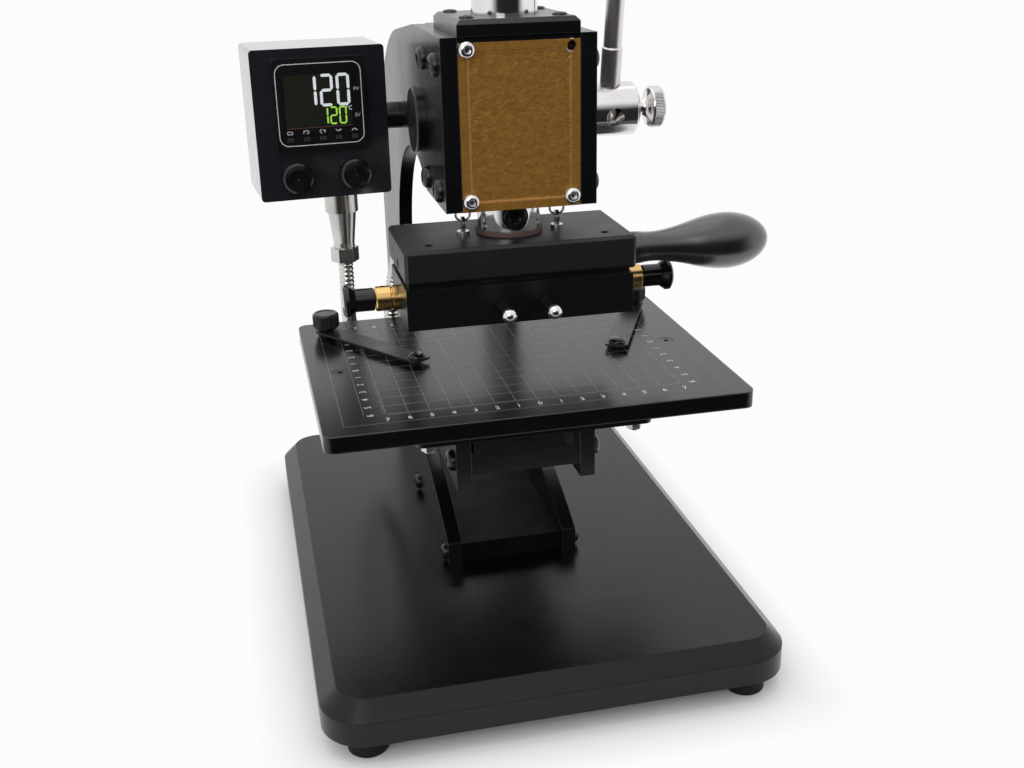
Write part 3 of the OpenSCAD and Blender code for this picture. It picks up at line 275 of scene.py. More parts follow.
handle_black = moulded_plastic("handle_black", (0.009, 0.0085, 0.0115), (0.26, 0.32), 2600, 0.003 * MM,
                               Specular_IOR_Level=0.7, Coat_Weight=1.0, Coat_Roughness=0.22, Coat_IOR=1.55)
rubber_black = moulded_plastic("rubber_black", (0.003, 0.003, 0.0036), (0.5, 0.6), 1500, 0.02 * MM,
                               Specular_IOR_Level=0.2)
pressed_fibre = moulded_plastic("pressed_fibre", (0.125, 0.08, 0.062), (0.5, 0.65), 900, 0.02 * MM)

# Bright metals: colour, lowest and highest roughness, run of the streaks and their depth
chrome = plated_metal("chrome", (0.8, 0.8, 0.815), (0.05, 0.12), ALONG_Z, 0.0015 * MM)
turned_chrome = plated_metal("turned_chrome", (0.8, 0.79, 0.78), (0.09, 0.18), ROUND_X, 0.002 * MM)
bright_steel = plated_metal("bright_steel", (0.62, 0.62, 0.62), (0.2, 0.32), ALONG_Y)
satin_chrome = plated_metal("satin_chrome", (0.78, 0.76, 0.74), (0.32, 0.38), ALONG_Z)
dark_steel = plated_metal("dark_steel", (0.1, 0.1, 0.105), (0.24, 0.32), ALONG_Y)
satin_nickel = plated_metal("satin_nickel", (0.6, 0.59, 0.57), (0.18, 0.26), ALONG_Z)
hose_steel = plated_metal("hose_steel", (0.68, 0.67, 0.64), (0.16, 0.28))
spring_steel = plated_metal("spring_steel", (0.66, 0.66, 0.66), (0.12, 0.2))
turned_bronze = plated_metal("turned_bronze", (0.5, 0.35, 0.15), (0.25, 0.36), ALONG_Z)
bright_brass = plated_metal("bright_brass", (0.8, 0.52, 0.2), (0.16, 0.26), (1, 0.06, 0.06))

print_white = printed_ink("print_white", (0.78, 0.78, 0.77))
print_grey = printed_ink("print_grey", (0.25, 0.25, 0.25))
label_grey = printed_ink("label_grey", (0.68, 0.68, 0.7))
outline_white = printed_ink("outline_white", (0.78, 0.78, 0.8))
print_brown = printed_ink("print_brown", (0.16, 0.085, 0.05))
white_segments = lit_segments("white_segments", (0.8, 0.87, 0.9), 0.3)
green_segments = lit_segments("green_segments", (0.42, 0.86, 0.09), 0.3)

# Lighter edges on the table and the frame: partly wear, partly a painted highlight where the edges catch
# the light
rub_edges(table_black, 0.8 * MM, (0.13, 0.13, 0.135))
rub_edges(frame_black, 0.45 * MM, (0.03, 0.03, 0.032))


def cast_bronze_paint():
    """Bronze-coloured casting, with a flecked tone and a fine grain."""
    material = finish("cast_bronze_paint", (0.33, 0.16, 0.028), 0.36, metallic=0.4)
    toned(material, cloud(material, 420, detail=5), (0.285, 0.134, 0.022), (0.385, 0.19, 0.034))
    glossed(material, cloud(material, 1300), 0.33, 0.46)
    grained(material, cloud(material, 1700), 0.02 * MM, 0.5, 0.3 * MM)
    return material


def display_film():
    """Dark display film under a gloss front, a little olive where the cells are off."""
    material = finish("display_film", (0.021, 0.0215, 0.0155), 0.14, Coat_Weight=0.6, Coat_Roughness=0.05)
    toned(material, cloud(material, 70), (0.0185, 0.019, 0.0135), (0.0235, 0.024, 0.0175))
    glossed(material, cloud(material, 160), 0.12, 0.2)
    return material


STUD_TOP = 139 * MM


def table_screw_finish():
    """Sunk screws are black at the table's top; the studs under it are bright."""
    material = finish("table_screw_finish", (0.62, 0.62, 0.62), 0.3)
    tree = material.node_tree
    split = tree.nodes.new("ShaderNodeSeparateXYZ")
    join(material, place_on(material), split.inputs["Vector"])
    stud = tree.nodes.new("ShaderNodeMath")
    stud.operation = "LESS_THAN"
    stud.inputs[1].default_value = STUD_TOP
    join(material, split.outputs["Z"], stud.inputs[0])
    mask = stud.outputs["Value"]
    toned(material, mask, (0.007, 0.007, 0.0078), (0.62, 0.62, 0.61), 0, 1)
    join(material, mask, shader_of(material).inputs["Metallic"])
    glossed(material, cloud(material, 400), 0.22, 0.34)
    grained(material, cloud(material, 1500), 0.003 * MM, 0.4, 0.2 * MM)
    return material


bronze_paint = cast_bronze_paint()
screen_film = display_film()
table_screw_steel = table_screw_finish()

NODE_FINISH = {
    base_black: ["base_plate"],
    rubber_black: ["rubber_feet"],
    frame_black: ["left_cheek", "right_cheek", "anvil_block", "head_block", "head_cap",
                  "pinion_cover", "box_post", "table_carriage"],
    foot_black: ["foot_block"],
    table_black: ["table_plate"],
    head_black: ["heater_block"],
    chase_black: ["adapter_plate", "die_chase"],
    box_black: ["controller_box", "controller_back"],
    blued_steel: ["gib_strip", "left_hold_arm", "right_hold_arm"],
    oxide_black: ["cheek_bolts", "left_hold_knob", "right_hold_knob", "left_clamp_screw",
                  "right_clamp_screw"],
    panel_black: ["panel_instrument", "power_inlet"],
    key_grey: ["key_1", "key_2", "key_3", "key_4", "key_5"],
    button_black: ["left_button", "right_button"],
    grip_black: ["lever_grip"],
    pull_black: ["left_plunger", "right_plunger"],
    handle_black: ["pear_handle"],
    pressed_fibre: ["insulation_washer"],
    chrome: ["ram", "button_screws"],
    satin_chrome: ["lever_rod"],
    turned_chrome: ["lever_hub", "hub_thumbscrew"],
    bright_steel: ["pinion_shaft", "spring_pins", "spring_tabs", "die_holder", "heater_cartridges"],
    table_screw_steel: ["table_screws"],
    satin_nickel: ["hose_gland", "gland_nut", "hose_fitting"],
    hose_steel: ["heater_hose"],
    spring_steel: ["return_springs"],
    turned_bronze: ["ram_bushes", "pinion_bushes"],
    bright_brass: ["plunger_collars"],
    bronze_paint: ["nameplate"],
    screen_film: ["display_window"],
}
for material, names in NODE_FINISH.items():
    for name in names:
        cad_nodes[name].data.materials.clear()
        cad_nodes[name].data.materials.append(material)


# Making and placing pieces

CLOSE = 0.002 * MM


def settle(name, mesh, slot, *materials, smooth=35):
    """A piece at the origin with its finishes, its place in its mesh."""
    for material in materials:
        mesh.materials.append(material)
    mesh.polygons.foreach_set("use_smooth", [True] * len(mesh.polygons))
    mesh.set_sharp_from_angle(angle=math.radians(smooth))
    piece = bpy.data.objects.new(name, mesh)
    bpy.context.scene.collection.objects.link(piece)
    return piece


def piece_from(name, bm, slot, *materials, smooth=35):
    """Turns a finished bmesh into a piece."""
    bmesh.ops.recalc_face_normals(bm, faces=bm.faces)
    mesh = bpy.data.meshes.new(name)
    bm.to_mesh(mesh)
    bm.free()
    return settle(name, mesh, slot, *materials, smooth=smooth)


def mesh_of(curve):
    """The mesh that a curve or a text shows, in its place."""
    holder = bpy.data.objects.new(curve.name, curve)
    bpy.context.scene.collection.objects.link(holder)
    shown = holder.evaluated_get(bpy.context.evaluated_depsgraph_get())
    mesh = bpy.data.meshes.new_from_object(shown)
    bpy.data.objects.remove(holder)
    bpy.data.curves.remove(curve)
    return mesh


def swept_tube(name, path, radii, roundness):
    """A closed tube along a path, with its own radius at each point."""
    line = bpy.data.curves.new(name, "CURVE")
    line.dimensions = "3D"
    line.bevel_depth = 1.0
    line.bevel_resolution = roundness
    line.use_fill_caps = True
    spline = line.splines.new("POLY")
    spline.points.add(len(path) - 1)
    for point, place, radius in zip(spline.points, path, radii):
        point.co = (*place, 1)
        point.radius = radius
    mesh = mesh_of(line)
    mesh.materials.clear()
    return mesh


def spun(points, centre, axis, steps, closed=False):
    """A bmesh with a line of points spun once round an axis."""
    bm = bmesh.new()
    line = [bm.verts.new(point) for point in points]
    others = line[1:] + line[:1] if closed else line[1:]
    edges = [bm.edges.new(pair) for pair in zip(line, others)]
    bmesh.ops.spin(bm, geom=line + edges, cent=centre, axis=axis, angle=math.tau, steps=steps,
                   use_merge=True)
    bmesh.ops.remove_doubles(bm, verts=bm.verts, dist=CLOSE)
    return bm


def quarter_turn(steps, first=0):
    """Cosine and sine of each step from 0 to 90 degrees."""
    turns = [math.pi / 2 * k / steps for k in range(first, steps + 1)]
    return [(math.cos(turn), math.sin(turn)) for turn in turns]


def verts_in(geom):
    """The vertices among what an operator made."""
    return [part for part in geom if isinstance(part, bmesh.types.BMVert)]


def smooth_route(points, steps):
    """A smooth curve through all the points, with steps in each span."""
    line = []
    for i in range(len(points) - 1):
        a, b, c, d = (points[max(0, min(len(points) - 1, i + k))] for k in (-1, 0, 1, 2))
        for k in range(steps):
            t = k / steps
            line.append(0.5 * (2 * b + (c - a) * t + (2 * a - 5 * b + 4 * c - d) * t * t
                               + (3 * b - a - 3 * c + d) * t ** 3))
    line.append(points[-1])
    return line


def runs_along(line):
    """How far along a line each of its points lies."""
    runs = [0.0]
    for a, b in zip(line, line[1:]):
        runs.append(runs[-1] + (b - a).length)
    return runs


def evenly(line, count):
    """The same line with count equal spans."""
    runs = runs_along(line)
    spaced = []
    i = 0
    for k in range(count + 1):
        at = runs[-1] * k / count
        while i < len(line) - 2 and runs[i + 1] < at:
            i += 1
        spaced.append(line[i].lerp(line[i + 1], (at - runs[i]) / (runs[i + 1] - runs[i])))
    return spaced


# Ribbed metal hose from the gland under the box, down in a loop and up to the heater block

HOSE_DIAMETER = 8.6 * MM
RIB_PITCH = 2.6 * MM
RIB_SHAPE = (1.0, 0.95, 0.84, 0.95)
HOSE_ROUTE = [Vector(p) * MM for p in (
    (-68.5, 72, 170.95), (-68.5, 72, 160), (-68.5, 75, 148), (-68, 82, 137), (-67, 93, 129),
    (-65.5, 104, 121), (-64, 112, 109), (-62.5, 115, 94), (-60.5, 111, 79), (-58, 101, 67),
    (-55.5, 87, 60), (-53, 71, 60), (-51, 56, 67), (-49.5, 47, 80), (-48, 43, 98),
    (-47.8, 43, 117), (-47.6, 43, 135), (-47.3, 42.5, 148), (-46, 41, 160), (-44.4, 38, 171),
    (-43.2, 33, 181), (-42.2, 26, 189.8), (-41.5, 17, 196.5), (-41, 7, 200.8), (-41, -4, 202.5),
    (-41, -11.7, 202.5))]


def ribbed_hose():
    line = smooth_route(HOSE_ROUTE, steps=24)
    length = runs_along(line)[-1]
    path = evenly(line, len(RIB_SHAPE) * round(length / RIB_PITCH))
    radii = [HOSE_DIAMETER / 2 * RIB_SHAPE[k % len(RIB_SHAPE)] for k in range(len(path))]
    mesh = swept_tube("ribbed_hose", path, radii, roundness=7)
    hose = settle("ribbed_hose", mesh, "hose_steel", hose_steel, smooth=60)
    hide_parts("heater_hose")
    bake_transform(hose)


ribbed_hose()


# Return springs: a hook, a tail and half of the curls, and the same again turned over

SPRING_X, SPRING_Y = 22.9 * MM, -57 * MM
SPRING_LOW, SPRING_HIGH = 223.5 * MM, 288.8 * MM
SPRING_RADIUS, SPRING_WIRE = 3.4 * MM, 1.2 * MM
CURLS, CURL_STEPS, CURL_LEAD = 12, 20, 5 * MM
FIRST_CURL = SPRING_LOW + 17 * MM
HOOK_DEGREES = range(110, 361, 10)
TAIL_STEPS = 8


def return_spring(name, x):
    middle = (SPRING_LOW + SPRING_HIGH) / 2
    pitch = 2 * (middle - FIRST_CURL) / CURLS
    half = []
    for degrees in HOOK_DEGREES:
        turn = math.radians(degrees)
        half.append(Vector((SPRING_RADIUS * math.cos(turn), 0,
                            SPRING_LOW + SPRING_RADIUS * math.sin(turn))))
    tail = FIRST_CURL - CURL_LEAD - SPRING_LOW
    for k in range(1, TAIL_STEPS):
        half.append(Vector((SPRING_RADIUS, 0, SPRING_LOW + tail * k / TAIL_STEPS)))
    for k in range(CURLS * CURL_STEPS // 2 + 1):
        turns = k / CURL_STEPS
        lead = CURL_LEAD * (1 - 2 * turns) ** 2 if turns < 0.5 else 0
        half.append(Vector((SPRING_RADIUS * math.cos(math.tau * turns),
                            SPRING_RADIUS * math.sin(math.tau * turns),
                            FIRST_CURL + pitch * turns - lead)))
    other = [Vector((p.x, -p.y, 2 * middle - p.z)) for p in reversed(half[:-1])]
    path = [p + Vector((x, SPRING_Y, 0)) for p in half + other]
    mesh = swept_tube(name, path, [SPRING_WIRE / 2] * len(path), roundness=3)
    spring = settle(name, mesh, "steel", spring_steel, smooth=60)
    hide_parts("return_springs")
    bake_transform(spring)


return_spring("left_return_spring", -SPRING_X)
return_spring("right_return_spring", SPRING_X)


# Pear handle, spun about its axis. Its neck is given as shares of the bulb's radius and of the length

PEAR_NECK = (
    (0.53, 0.0), (0.55, 0.003), (0.566, 0.012), (0.568, 0.035), (0.56, 0.062), (0.535, 0.095),
    (0.522, 0.13), (0.524, 0.17), (0.537, 0.216), (0.572, 0.262), (0.62, 0.309), (0.676, 0.357),
    (0.734, 0.403), (0.802, 0.449), (0.868, 0.496), (0.92, 0.543), (0.963, 0.591), (0.99, 0.64))
PEAR_WIDEST = 0.686


def pear_handle():
    low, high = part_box("pear_handle")
    axis = Vector((low.x, (low.y + high.y) / 2, (low.z + high.z) / 2))
    length, bulb = high.x - low.x, (high.z - low.z) / 2
    profile = [(0, 0)] + [(r * bulb, x * length) for r, x in PEAR_NECK]
    for across, along in quarter_turn(16):
        profile.append((bulb * across, length * (PEAR_WIDEST + (1 - PEAR_WIDEST) * along)))
    bm = spun([(axis.x + x, axis.y, axis.z + r) for r, x in profile], axis, (1, 0, 0), steps=64)
    handle = piece_from("turned_pear_handle", bm, "handle_black", handle_black, smooth=50)
    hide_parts("pear_handle")
    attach(handle, "press_head")


pear_handle()


# Grip of the lever, spun about the leaning rod. Radius and height are in millimetres

LEVER_LEAN = math.radians(11)
LEVER_INSET, GRIP_START = 13 * MM, 149 * MM
GRIP_SIDE = (
    (0, 9.5), (5.5, 9.5), (6.1, 9.9), (6.3, 10.8), (6.1, 12), (6.1, 14), (6.5, 17.5), (7.2, 21.5),
    (8.1, 26), (9, 31), (9.8, 36), (10.3, 40.5), (10.5, 45.2), (10.4, 50), (10, 55), (9.4, 60),
    (8.7, 65), (8, 69.5), (7.5, 72.6))
GRIP_CROWN = 5.2


def lever_grip():
    low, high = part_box("lever_hub")
    foot = Vector((high.x - LEVER_INSET, (low.y + high.y) / 2, (low.z + high.z) / 2))
    top_radius, top = GRIP_SIDE[-1]
    profile = list(GRIP_SIDE)
    for across, along in quarter_turn(8, first=1):
        profile.append((top_radius * across, top + GRIP_CROWN * along))
    bm = spun([(r * MM, 0, GRIP_START + h * MM) for r, h in profile], (0, 0, 0), (0, 0, 1), steps=56)
    lean = Matrix.Translation(foot) @ Matrix.Rotation(LEVER_LEAN, 4, "X")
    bmesh.ops.transform(bm, matrix=lean, verts=bm.verts)
    grip = piece_from("turned_lever_grip", bm, "handle_black", grip_black, smooth=50)
    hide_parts("lever_grip")
    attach(grip, "lever")


lever_grip()


# Hammered ground of the front plate, inside its raised border

PLATE_BORDER, BORDER_LAP, BORDER_SLOPE, BORDER_RISE = 3.8 * MM, 0.15 * MM, 1.2 * MM, 0.45 * MM
PLATE_SCREW_X, PLATE_SCREW_LOW, PLATE_SCREW_HIGH = 23.5 * MM, 234.7 * MM, 300.7 * MM
OPEN_HOLE_RADIUS, HOLE_LIP, LIP_RISE = 3.1 * MM, 0.7 * MM, 0.25 * MM
GROUND_SUNK, GROUND_DEPTH, RIM_DEPTH = 0.5 * MM, 0.08 * MM, 0.6 * MM
DENTS, DENT_DEPTH = 760, 0.22 * MM
FINE_SWELLS, FINE_SWELL_DEPTH = 1200, 0.09 * MM
WIDE_SWELLS, WIDE_SWELL_DEPTH = 330, 0.1 * MM


def hammered_ground():
    low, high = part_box("nameplate")
    front = low.y + GROUND_SUNK
    inside = 2 * (PLATE_BORDER - BORDER_LAP)
    width, height = high.x - low.x - inside, high.z - low.z - inside
    centre = (low + high) / 2
    place = Matrix.Translation((centre.x, front, centre.z)) @ Matrix.Rotation(math.pi / 2, 4, "X")
    bm = bmesh.new()
    bmesh.ops.create_grid(bm, x_segments=150, y_segments=222, size=0.5,
                          matrix=place @ Matrix.Diagonal((width, height, 1, 1)))
    hole = Vector((PLATE_SCREW_X, front, PLATE_SCREW_HIGH))
    cut = [f for f in bm.faces if (f.calc_center_median() - hole).length < OPEN_HOLE_RADIUS]
    bmesh.ops.delete(bm, geom=cut, context="FACES")
    for v in bm.verts:
        edge = min(width / 2 - abs(v.co.x - centre.x), height / 2 - abs(v.co.z - centre.z))
        radial = v.co - hole
        if v.is_boundary and edge > 0.1 * MM:
            v.co = hole + radial.normalized() * OPEN_HOLE_RADIUS
        spot = Vector((v.co.x, 0, v.co.z))
        dent = noise.voronoi(spot * DENTS)[0][0] * DENT_DEPTH
        swell = (noise.noise(spot * FINE_SWELLS) * FINE_SWELL_DEPTH
                 + noise.noise(spot * WIDE_SWELLS) * WIDE_SWELL_DEPTH)
        depth = GROUND_DEPTH + dent + swell
        lip = max(0, 1 - (radial.length - OPEN_HOLE_RADIUS) / HOLE_LIP)
        slope = max(0, 1 - edge / BORDER_SLOPE)
        v.co.y += depth * (1 - max(lip, slope)) - LIP_RISE * min(1, lip) - BORDER_RISE * slope
    rim = bmesh.ops.extrude_edge_only(bm, edges=[e for e in bm.edges if e.is_boundary])
    for v in verts_in(rim["geom"]):
        v.co.y = front + RIM_DEPTH
    ground = piece_from("hammered_ground", bm, "brass_plate", bronze_paint, smooth=80)
    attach(ground, "frame")


hammered_ground()


# Printed grid of the table, ruled in centimetres. Places and widths of lines are in millimetres

TABLE_TOP = 146 * MM
TABLE_CENTRE = -45 * MM
INK = 0.05 * MM
GRID_X, GRID_Y, GRID_OVERRUN = 70, 60, 4
BORDER_X, BORDER_Y, SIDE_LINE_X = 90, 70, 80
GRID_LINE, BORDER_LINE, TICK_LINE = 0.22, 0.16, 0.14
SHORT_TICK, LONG_TICK = 1.6, 2.6
NUMBER_ROWS, NUMBER_COLUMNS, NUMBER_SIZE = (-66.5, 66), (-77, 76), 4.6 * MM
NUMBER_INK = 1


def ruled_bar(bm, x0, y0, x1, y1, width):
    """One straight printed line between two points of the table."""
    a, b = Vector((x0, y0, 0)) * MM, Vector((x1, y1, 0)) * MM
    run = b - a
    centre = (a + b) / 2 + Vector((0, TABLE_CENTRE, TABLE_TOP))
    place = Matrix.Translation(centre) @ Matrix.Rotation(math.atan2(run.y, run.x), 4, "Z")
    size = Matrix.Diagonal((run.length + width * MM, width * MM, 2 * INK, 1))
    bmesh.ops.create_cube(bm, size=1, matrix=place @ size)


def lettering(bm, text, size, place, finish_index):
    """Text as a thin solid, centred on a place whose z axis is the surface's normal."""
    letters = bpy.data.curves.new("lettering", "FONT")
    letters.body = text
    letters.size = size
    letters.align_x = "CENTER"
    letters.align_y = "CENTER"
    letters.extrude = INK
    letters.resolution_u = 3
    mesh = mesh_of(letters)
    start_verts, start_faces = len(bm.verts), len(bm.faces)
    bm.from_mesh(mesh)
    bm.verts.ensure_lookup_table()
    bm.faces.ensure_lookup_table()
    bmesh.ops.transform(bm, matrix=place, verts=bm.verts[start_verts:])
    for face in bm.faces[start_faces:]:
        face.material_index = finish_index
    bpy.data.meshes.remove(mesh)


def tick(step):
    """A ruler's tick, longer at every half centimetre."""
    return LONG_TICK if step % 5 == 0 else SHORT_TICK


def table_print():
    bm = bmesh.new()
    for x in range(-GRID_X, GRID_X + 1, 10):
        ruled_bar(bm, x, -GRID_Y - GRID_OVERRUN, x, GRID_Y, GRID_LINE)
    for y in range(-GRID_Y, GRID_Y + 1, 10):
        ruled_bar(bm, -GRID_X - GRID_OVERRUN, y, GRID_X, y, GRID_LINE)
    for step in range(-GRID_X, GRID_X + 1):
        ruled_bar(bm, step, -GRID_Y, step, -GRID_Y - tick(step), TICK_LINE)
    for step in range(-GRID_Y, GRID_Y + 1):
        ruled_bar(bm, -GRID_X, step, -GRID_X - tick(step), step, TICK_LINE)
    for side in (-1, 1):
        ruled_bar(bm, -BORDER_X, side * BORDER_Y, BORDER_X, side * BORDER_Y, BORDER_LINE)
        ruled_bar(bm, side * BORDER_X, -BORDER_Y, side * BORDER_X, BORDER_Y, BORDER_LINE)
        ruled_bar(bm, side * SIDE_LINE_X, -GRID_Y, side * SIDE_LINE_X, GRID_Y, BORDER_LINE)
    for number in range(-7, 8):
        for y in NUMBER_ROWS:
            at = Matrix.Translation((number * 10 * MM, TABLE_CENTRE + y * MM, TABLE_TOP))
            lettering(bm, str(abs(number)), NUMBER_SIZE, at, NUMBER_INK)
    for number in range(-6, 7):
        for x in NUMBER_COLUMNS:
            at = (Matrix.Translation((x * MM, TABLE_CENTRE + number * 10 * MM, TABLE_TOP))
                  @ Matrix.Rotation(math.pi / 2, 4, "Z"))
            lettering(bm, str(abs(number)), NUMBER_SIZE, at, NUMBER_INK)
    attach(piece_from("table_print", bm, "table_black", print_grey, print_white), "table")


table_print()


# Front of the control box, in the box's own frame and in millimetres: x across, -y out, z up

BOX_FRAME = (Matrix.Translation((-78 * MM, 40 * MM, 215 * MM))
             @ Matrix.Rotation(math.radians(5), 4, "Z"))
PANEL_FACE, FILM_FACE = -2.0, -1.9
SEGMENTS = {"0": "abcdef", "1": "bc", "2": "abged"}
SEGMENT_GAP, DIGIT_LEAN = 0.56, 0.03
SHOWN_VALUE = "120"
# Both rows of digits: each digit's x, the row's z, then a digit's width, height and stroke
DIGIT_ROWS = (((-5.6, 3.1, 11.8), 56.4, 7.1, 16.6, 1.5), ((1.2, 6.07, 10.95), 43.3, 4.1, 9.2, 0.85))
# Signs over the keys, as bars from one point to another
SIGN_Z = 35.5
HOOK_SIGN = ((-1.4, -0.6, -1.4, 0.7), (-1.4, 0.7, 1.2, 0.7), (1.2, 0.7, 1.2, -0.7), (1.2, -0.7, 0.3, -0.7))
SHIFT_SIGN = ((-1.5, 0, -0.5, 0.95), (-1.5, 0, -0.5, -0.95), (0.3, 0.5, 1.6, 0.5), (1.5, 0.5, 1.1, -0.5))
ARROW_HALF, ARROW_RISE = 1.3, 0.9
OUTLINE_INK, LABEL_INK, LINE_INK = 0, 1, 2


def on_front(x, z, depth):
    """A place on the box's front whose x runs right, y up and z out of the face."""
    spot = Matrix.Translation((x * MM, depth * MM, z * MM))
    return BOX_FRAME @ spot @ Matrix.Rotation(math.pi / 2, 4, "X")


def set_in_place(bm, faces, place, finish_index):
    """Gives a printed shape its finish and moves it to its place."""
    for face in faces:
        face.material_index = finish_index
    bmesh.ops.transform(bm, matrix=place, verts=list({v for face in faces for v in face.verts}))


def front_bar(bm, place, x0, y0, x1, y1, width, finish_index, pointed=True):
    """A flat bar between two points of a front place, with pointed ends or square ones."""
    a, b = Vector((x0, y0, 0)), Vector((x1, y1, 0))
    along = (b - a).normalized()
    across = Vector((-along.y, along.x, 0)) * width / 2
    outline = [a - across, b - across, b + across, a + across]
    if pointed:
        tip = along * width / 2
        outline = [a - tip, a - across, b - across, b + tip, b + across, a + across]
    face = bm.faces.new([bm.verts.new(p * MM - Vector((0, 0, INK))) for p in outline])
    raised = bmesh.ops.extrude_face_region(bm, geom=[face])["geom"]
    bmesh.ops.translate(bm, vec=(0, 0, 2 * INK), verts=verts_in(raised))
    solid = {f for v in face.verts for f in v.link_faces}
    solid |= {part for part in raised if isinstance(part, bmesh.types.BMFace)}
    set_in_place(bm, solid, place, finish_index)


def segment_digit(bm, digit, x, z, width, height, stroke, finish_index):
    """A seven-segment digit, leaning a little to the right as on a display."""
    place = on_front(x, z, FILM_FACE) @ Matrix.Shear("XY", 4, (DIGIT_LEAN, 0))
    w, h, s = (width - stroke) / 2, (height - stroke) / 2, stroke * SEGMENT_GAP
    ends = {
        "a": (-w + s, h, w - s, h), "d": (-w + s, -h, w - s, -h), "g": (-w + s, 0, w - s, 0),
        "b": (w, s, w, h - s), "c": (w, -h + s, w, -s),
        "f": (-w, s, -w, h - s), "e": (-w, -h + s, -w, -s),
    }
    for name in SEGMENTS[digit]:
        front_bar(bm, place, *ends[name], stroke, finish_index)


def rounded_outline(bm, width, height, radius, stroke, place, finish_index):
    """A thin rounded frame on the front."""
    corners = [(sx * width / 2 * MM, sy * height / 2 * MM, -INK)
               for sx, sy in ((-1, -1), (1, -1), (1, 1), (-1, 1))]
    face = bm.faces.new([bm.verts.new(corner) for corner in corners])
    made = bmesh.ops.bevel(bm, geom=list(face.verts), offset=radius * MM, affect="VERTICES", segments=6,
                           profile=0.5, material=-1)
    face = next(f for f in bm.faces if f.is_valid and set(made["verts"]) <= set(f.verts))
    ring = bmesh.ops.inset_individual(bm, faces=[face], thickness=stroke * MM, use_even_offset=True)
    bmesh.ops.delete(bm, geom=[face], context="FACES_ONLY")
    top = verts_in(bmesh.ops.extrude_face_region(bm, geom=ring["faces"])["geom"])
    bmesh.ops.translate(bm, vec=(0, 0, 2 * INK), verts=top)
    solid = {f for v in top for f in v.link_faces} | {f for f in ring["faces"] if f.is_valid}
    set_in_place(bm, solid, place, finish_index)


def display_digits():
    """The measured value in white, the set one under it in green, and the degree sign."""
    bm = bmesh.new()
    for row, (places, z, width, height, stroke) in enumerate(DIGIT_ROWS):
        for digit, x in zip(SHOWN_VALUE, places):
            segment_digit(bm, digit, x, z, width, height, stroke, row)
    lettering(bm, "C", 3.2 * MM, on_front(15.2, 46.6, FILM_FACE), 0)
    lettering(bm, "o", 2.0 * MM, on_front(13.3, 47.7, FILM_FACE), 0)
    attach(piece_from("display_digits", bm, "panel_black", white_segments, green_segments), "frame")


def panel_print():
    """White outline, the two value labels, the line under the display and the keys' signs."""
    bm = bmesh.new()
    rounded_outline(bm, width=44.9, height=42, radius=5, stroke=0.46,
                    place=on_front(-0.74, 49.5, PANEL_FACE), finish_index=OUTLINE_INK)
    for text, z in (("PV", 56.2), ("SV", 42.7)):
        lettering(bm, text, 2.8 * MM, on_front(18.7, z, PANEL_FACE), LABEL_INK)
    front_bar(bm, on_front(0, 0, PANEL_FACE), -19, 37.7, 15.8, 37.7, 0.35, LINE_INK, pointed=False)
    rounded_outline(bm, width=2.9, height=1.8, radius=0.5, stroke=0.42,
                    place=on_front(-17.5, SIGN_Z, PANEL_FACE), finish_index=LABEL_INK)
    for bars, x, stroke in ((HOOK_SIGN, -9, 0.45), (SHIFT_SIGN, -0.5, 0.5)):
        for ends in bars:
            front_bar(bm, on_front(x, SIGN_Z, PANEL_FACE), *ends, stroke, LABEL_INK)
    for x, rise in ((8, -ARROW_RISE), (16.5, ARROW_RISE)):
        for side in (-1, 1):
            place = on_front(x, SIGN_Z, PANEL_FACE)
            front_bar(bm, place, side * ARROW_HALF, -rise / 2, 0, rise / 2, 0.6, LABEL_INK)
    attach(piece_from("panel_print", bm, "panel_black", outline_white, label_grey, print_brown), "frame")


display_digits()
panel_print()


# Knurled rims of the knobs, and the thumbscrew with its own

def knurled_rim(name, axis_place, radius, height, teeth, depth, slot, material, body):
    """A toothed band about the z axis of a place, standing a little proud of the knob's rim."""
    bm = bmesh.new()
    made = bmesh.ops.create_circle(bm, segments=2 * teeth, radius=radius, cap_ends=True)
    for k, v in enumerate(made["verts"]):
        if k % 2:
            v.co *= 1 - depth / radius
    raised = bmesh.ops.extrude_face_region(bm, geom=bm.faces[:])
    bmesh.ops.translate(bm, vec=(0, 0, height), verts=verts_in(raised["geom"]))
    bmesh.ops.transform(bm, matrix=axis_place, verts=bm.verts)
    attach(piece_from(name, bm, slot, material, smooth=20), body)


for side in SIDES:
    low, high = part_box(side + "_hold_knob")
    rim = Matrix.Translation(((low.x + high.x) / 2, (low.y + high.y) / 2, high.z - 7.1 * MM))
    knurled_rim(side + "_knob_knurl", rim, radius=(high.x - low.x) / 2 + 0.22 * MM, height=6 * MM, teeth=48,
                depth=0.4 * MM, slot="black_oxide", material=oxide_black, body=side + "_hold_knob")

# Radius and height over the thumbscrew's shoulder, in millimetres
THUMB_NECK, THUMB_TOP = 4, 13.8
THUMB_HEAD = ((9.6, 7.5), (9.8, 8), (9.8, 13), (9.6, 13.5), (9.2, 13.8), (5, 13.8), (4, 13.2), (0, 13.2))


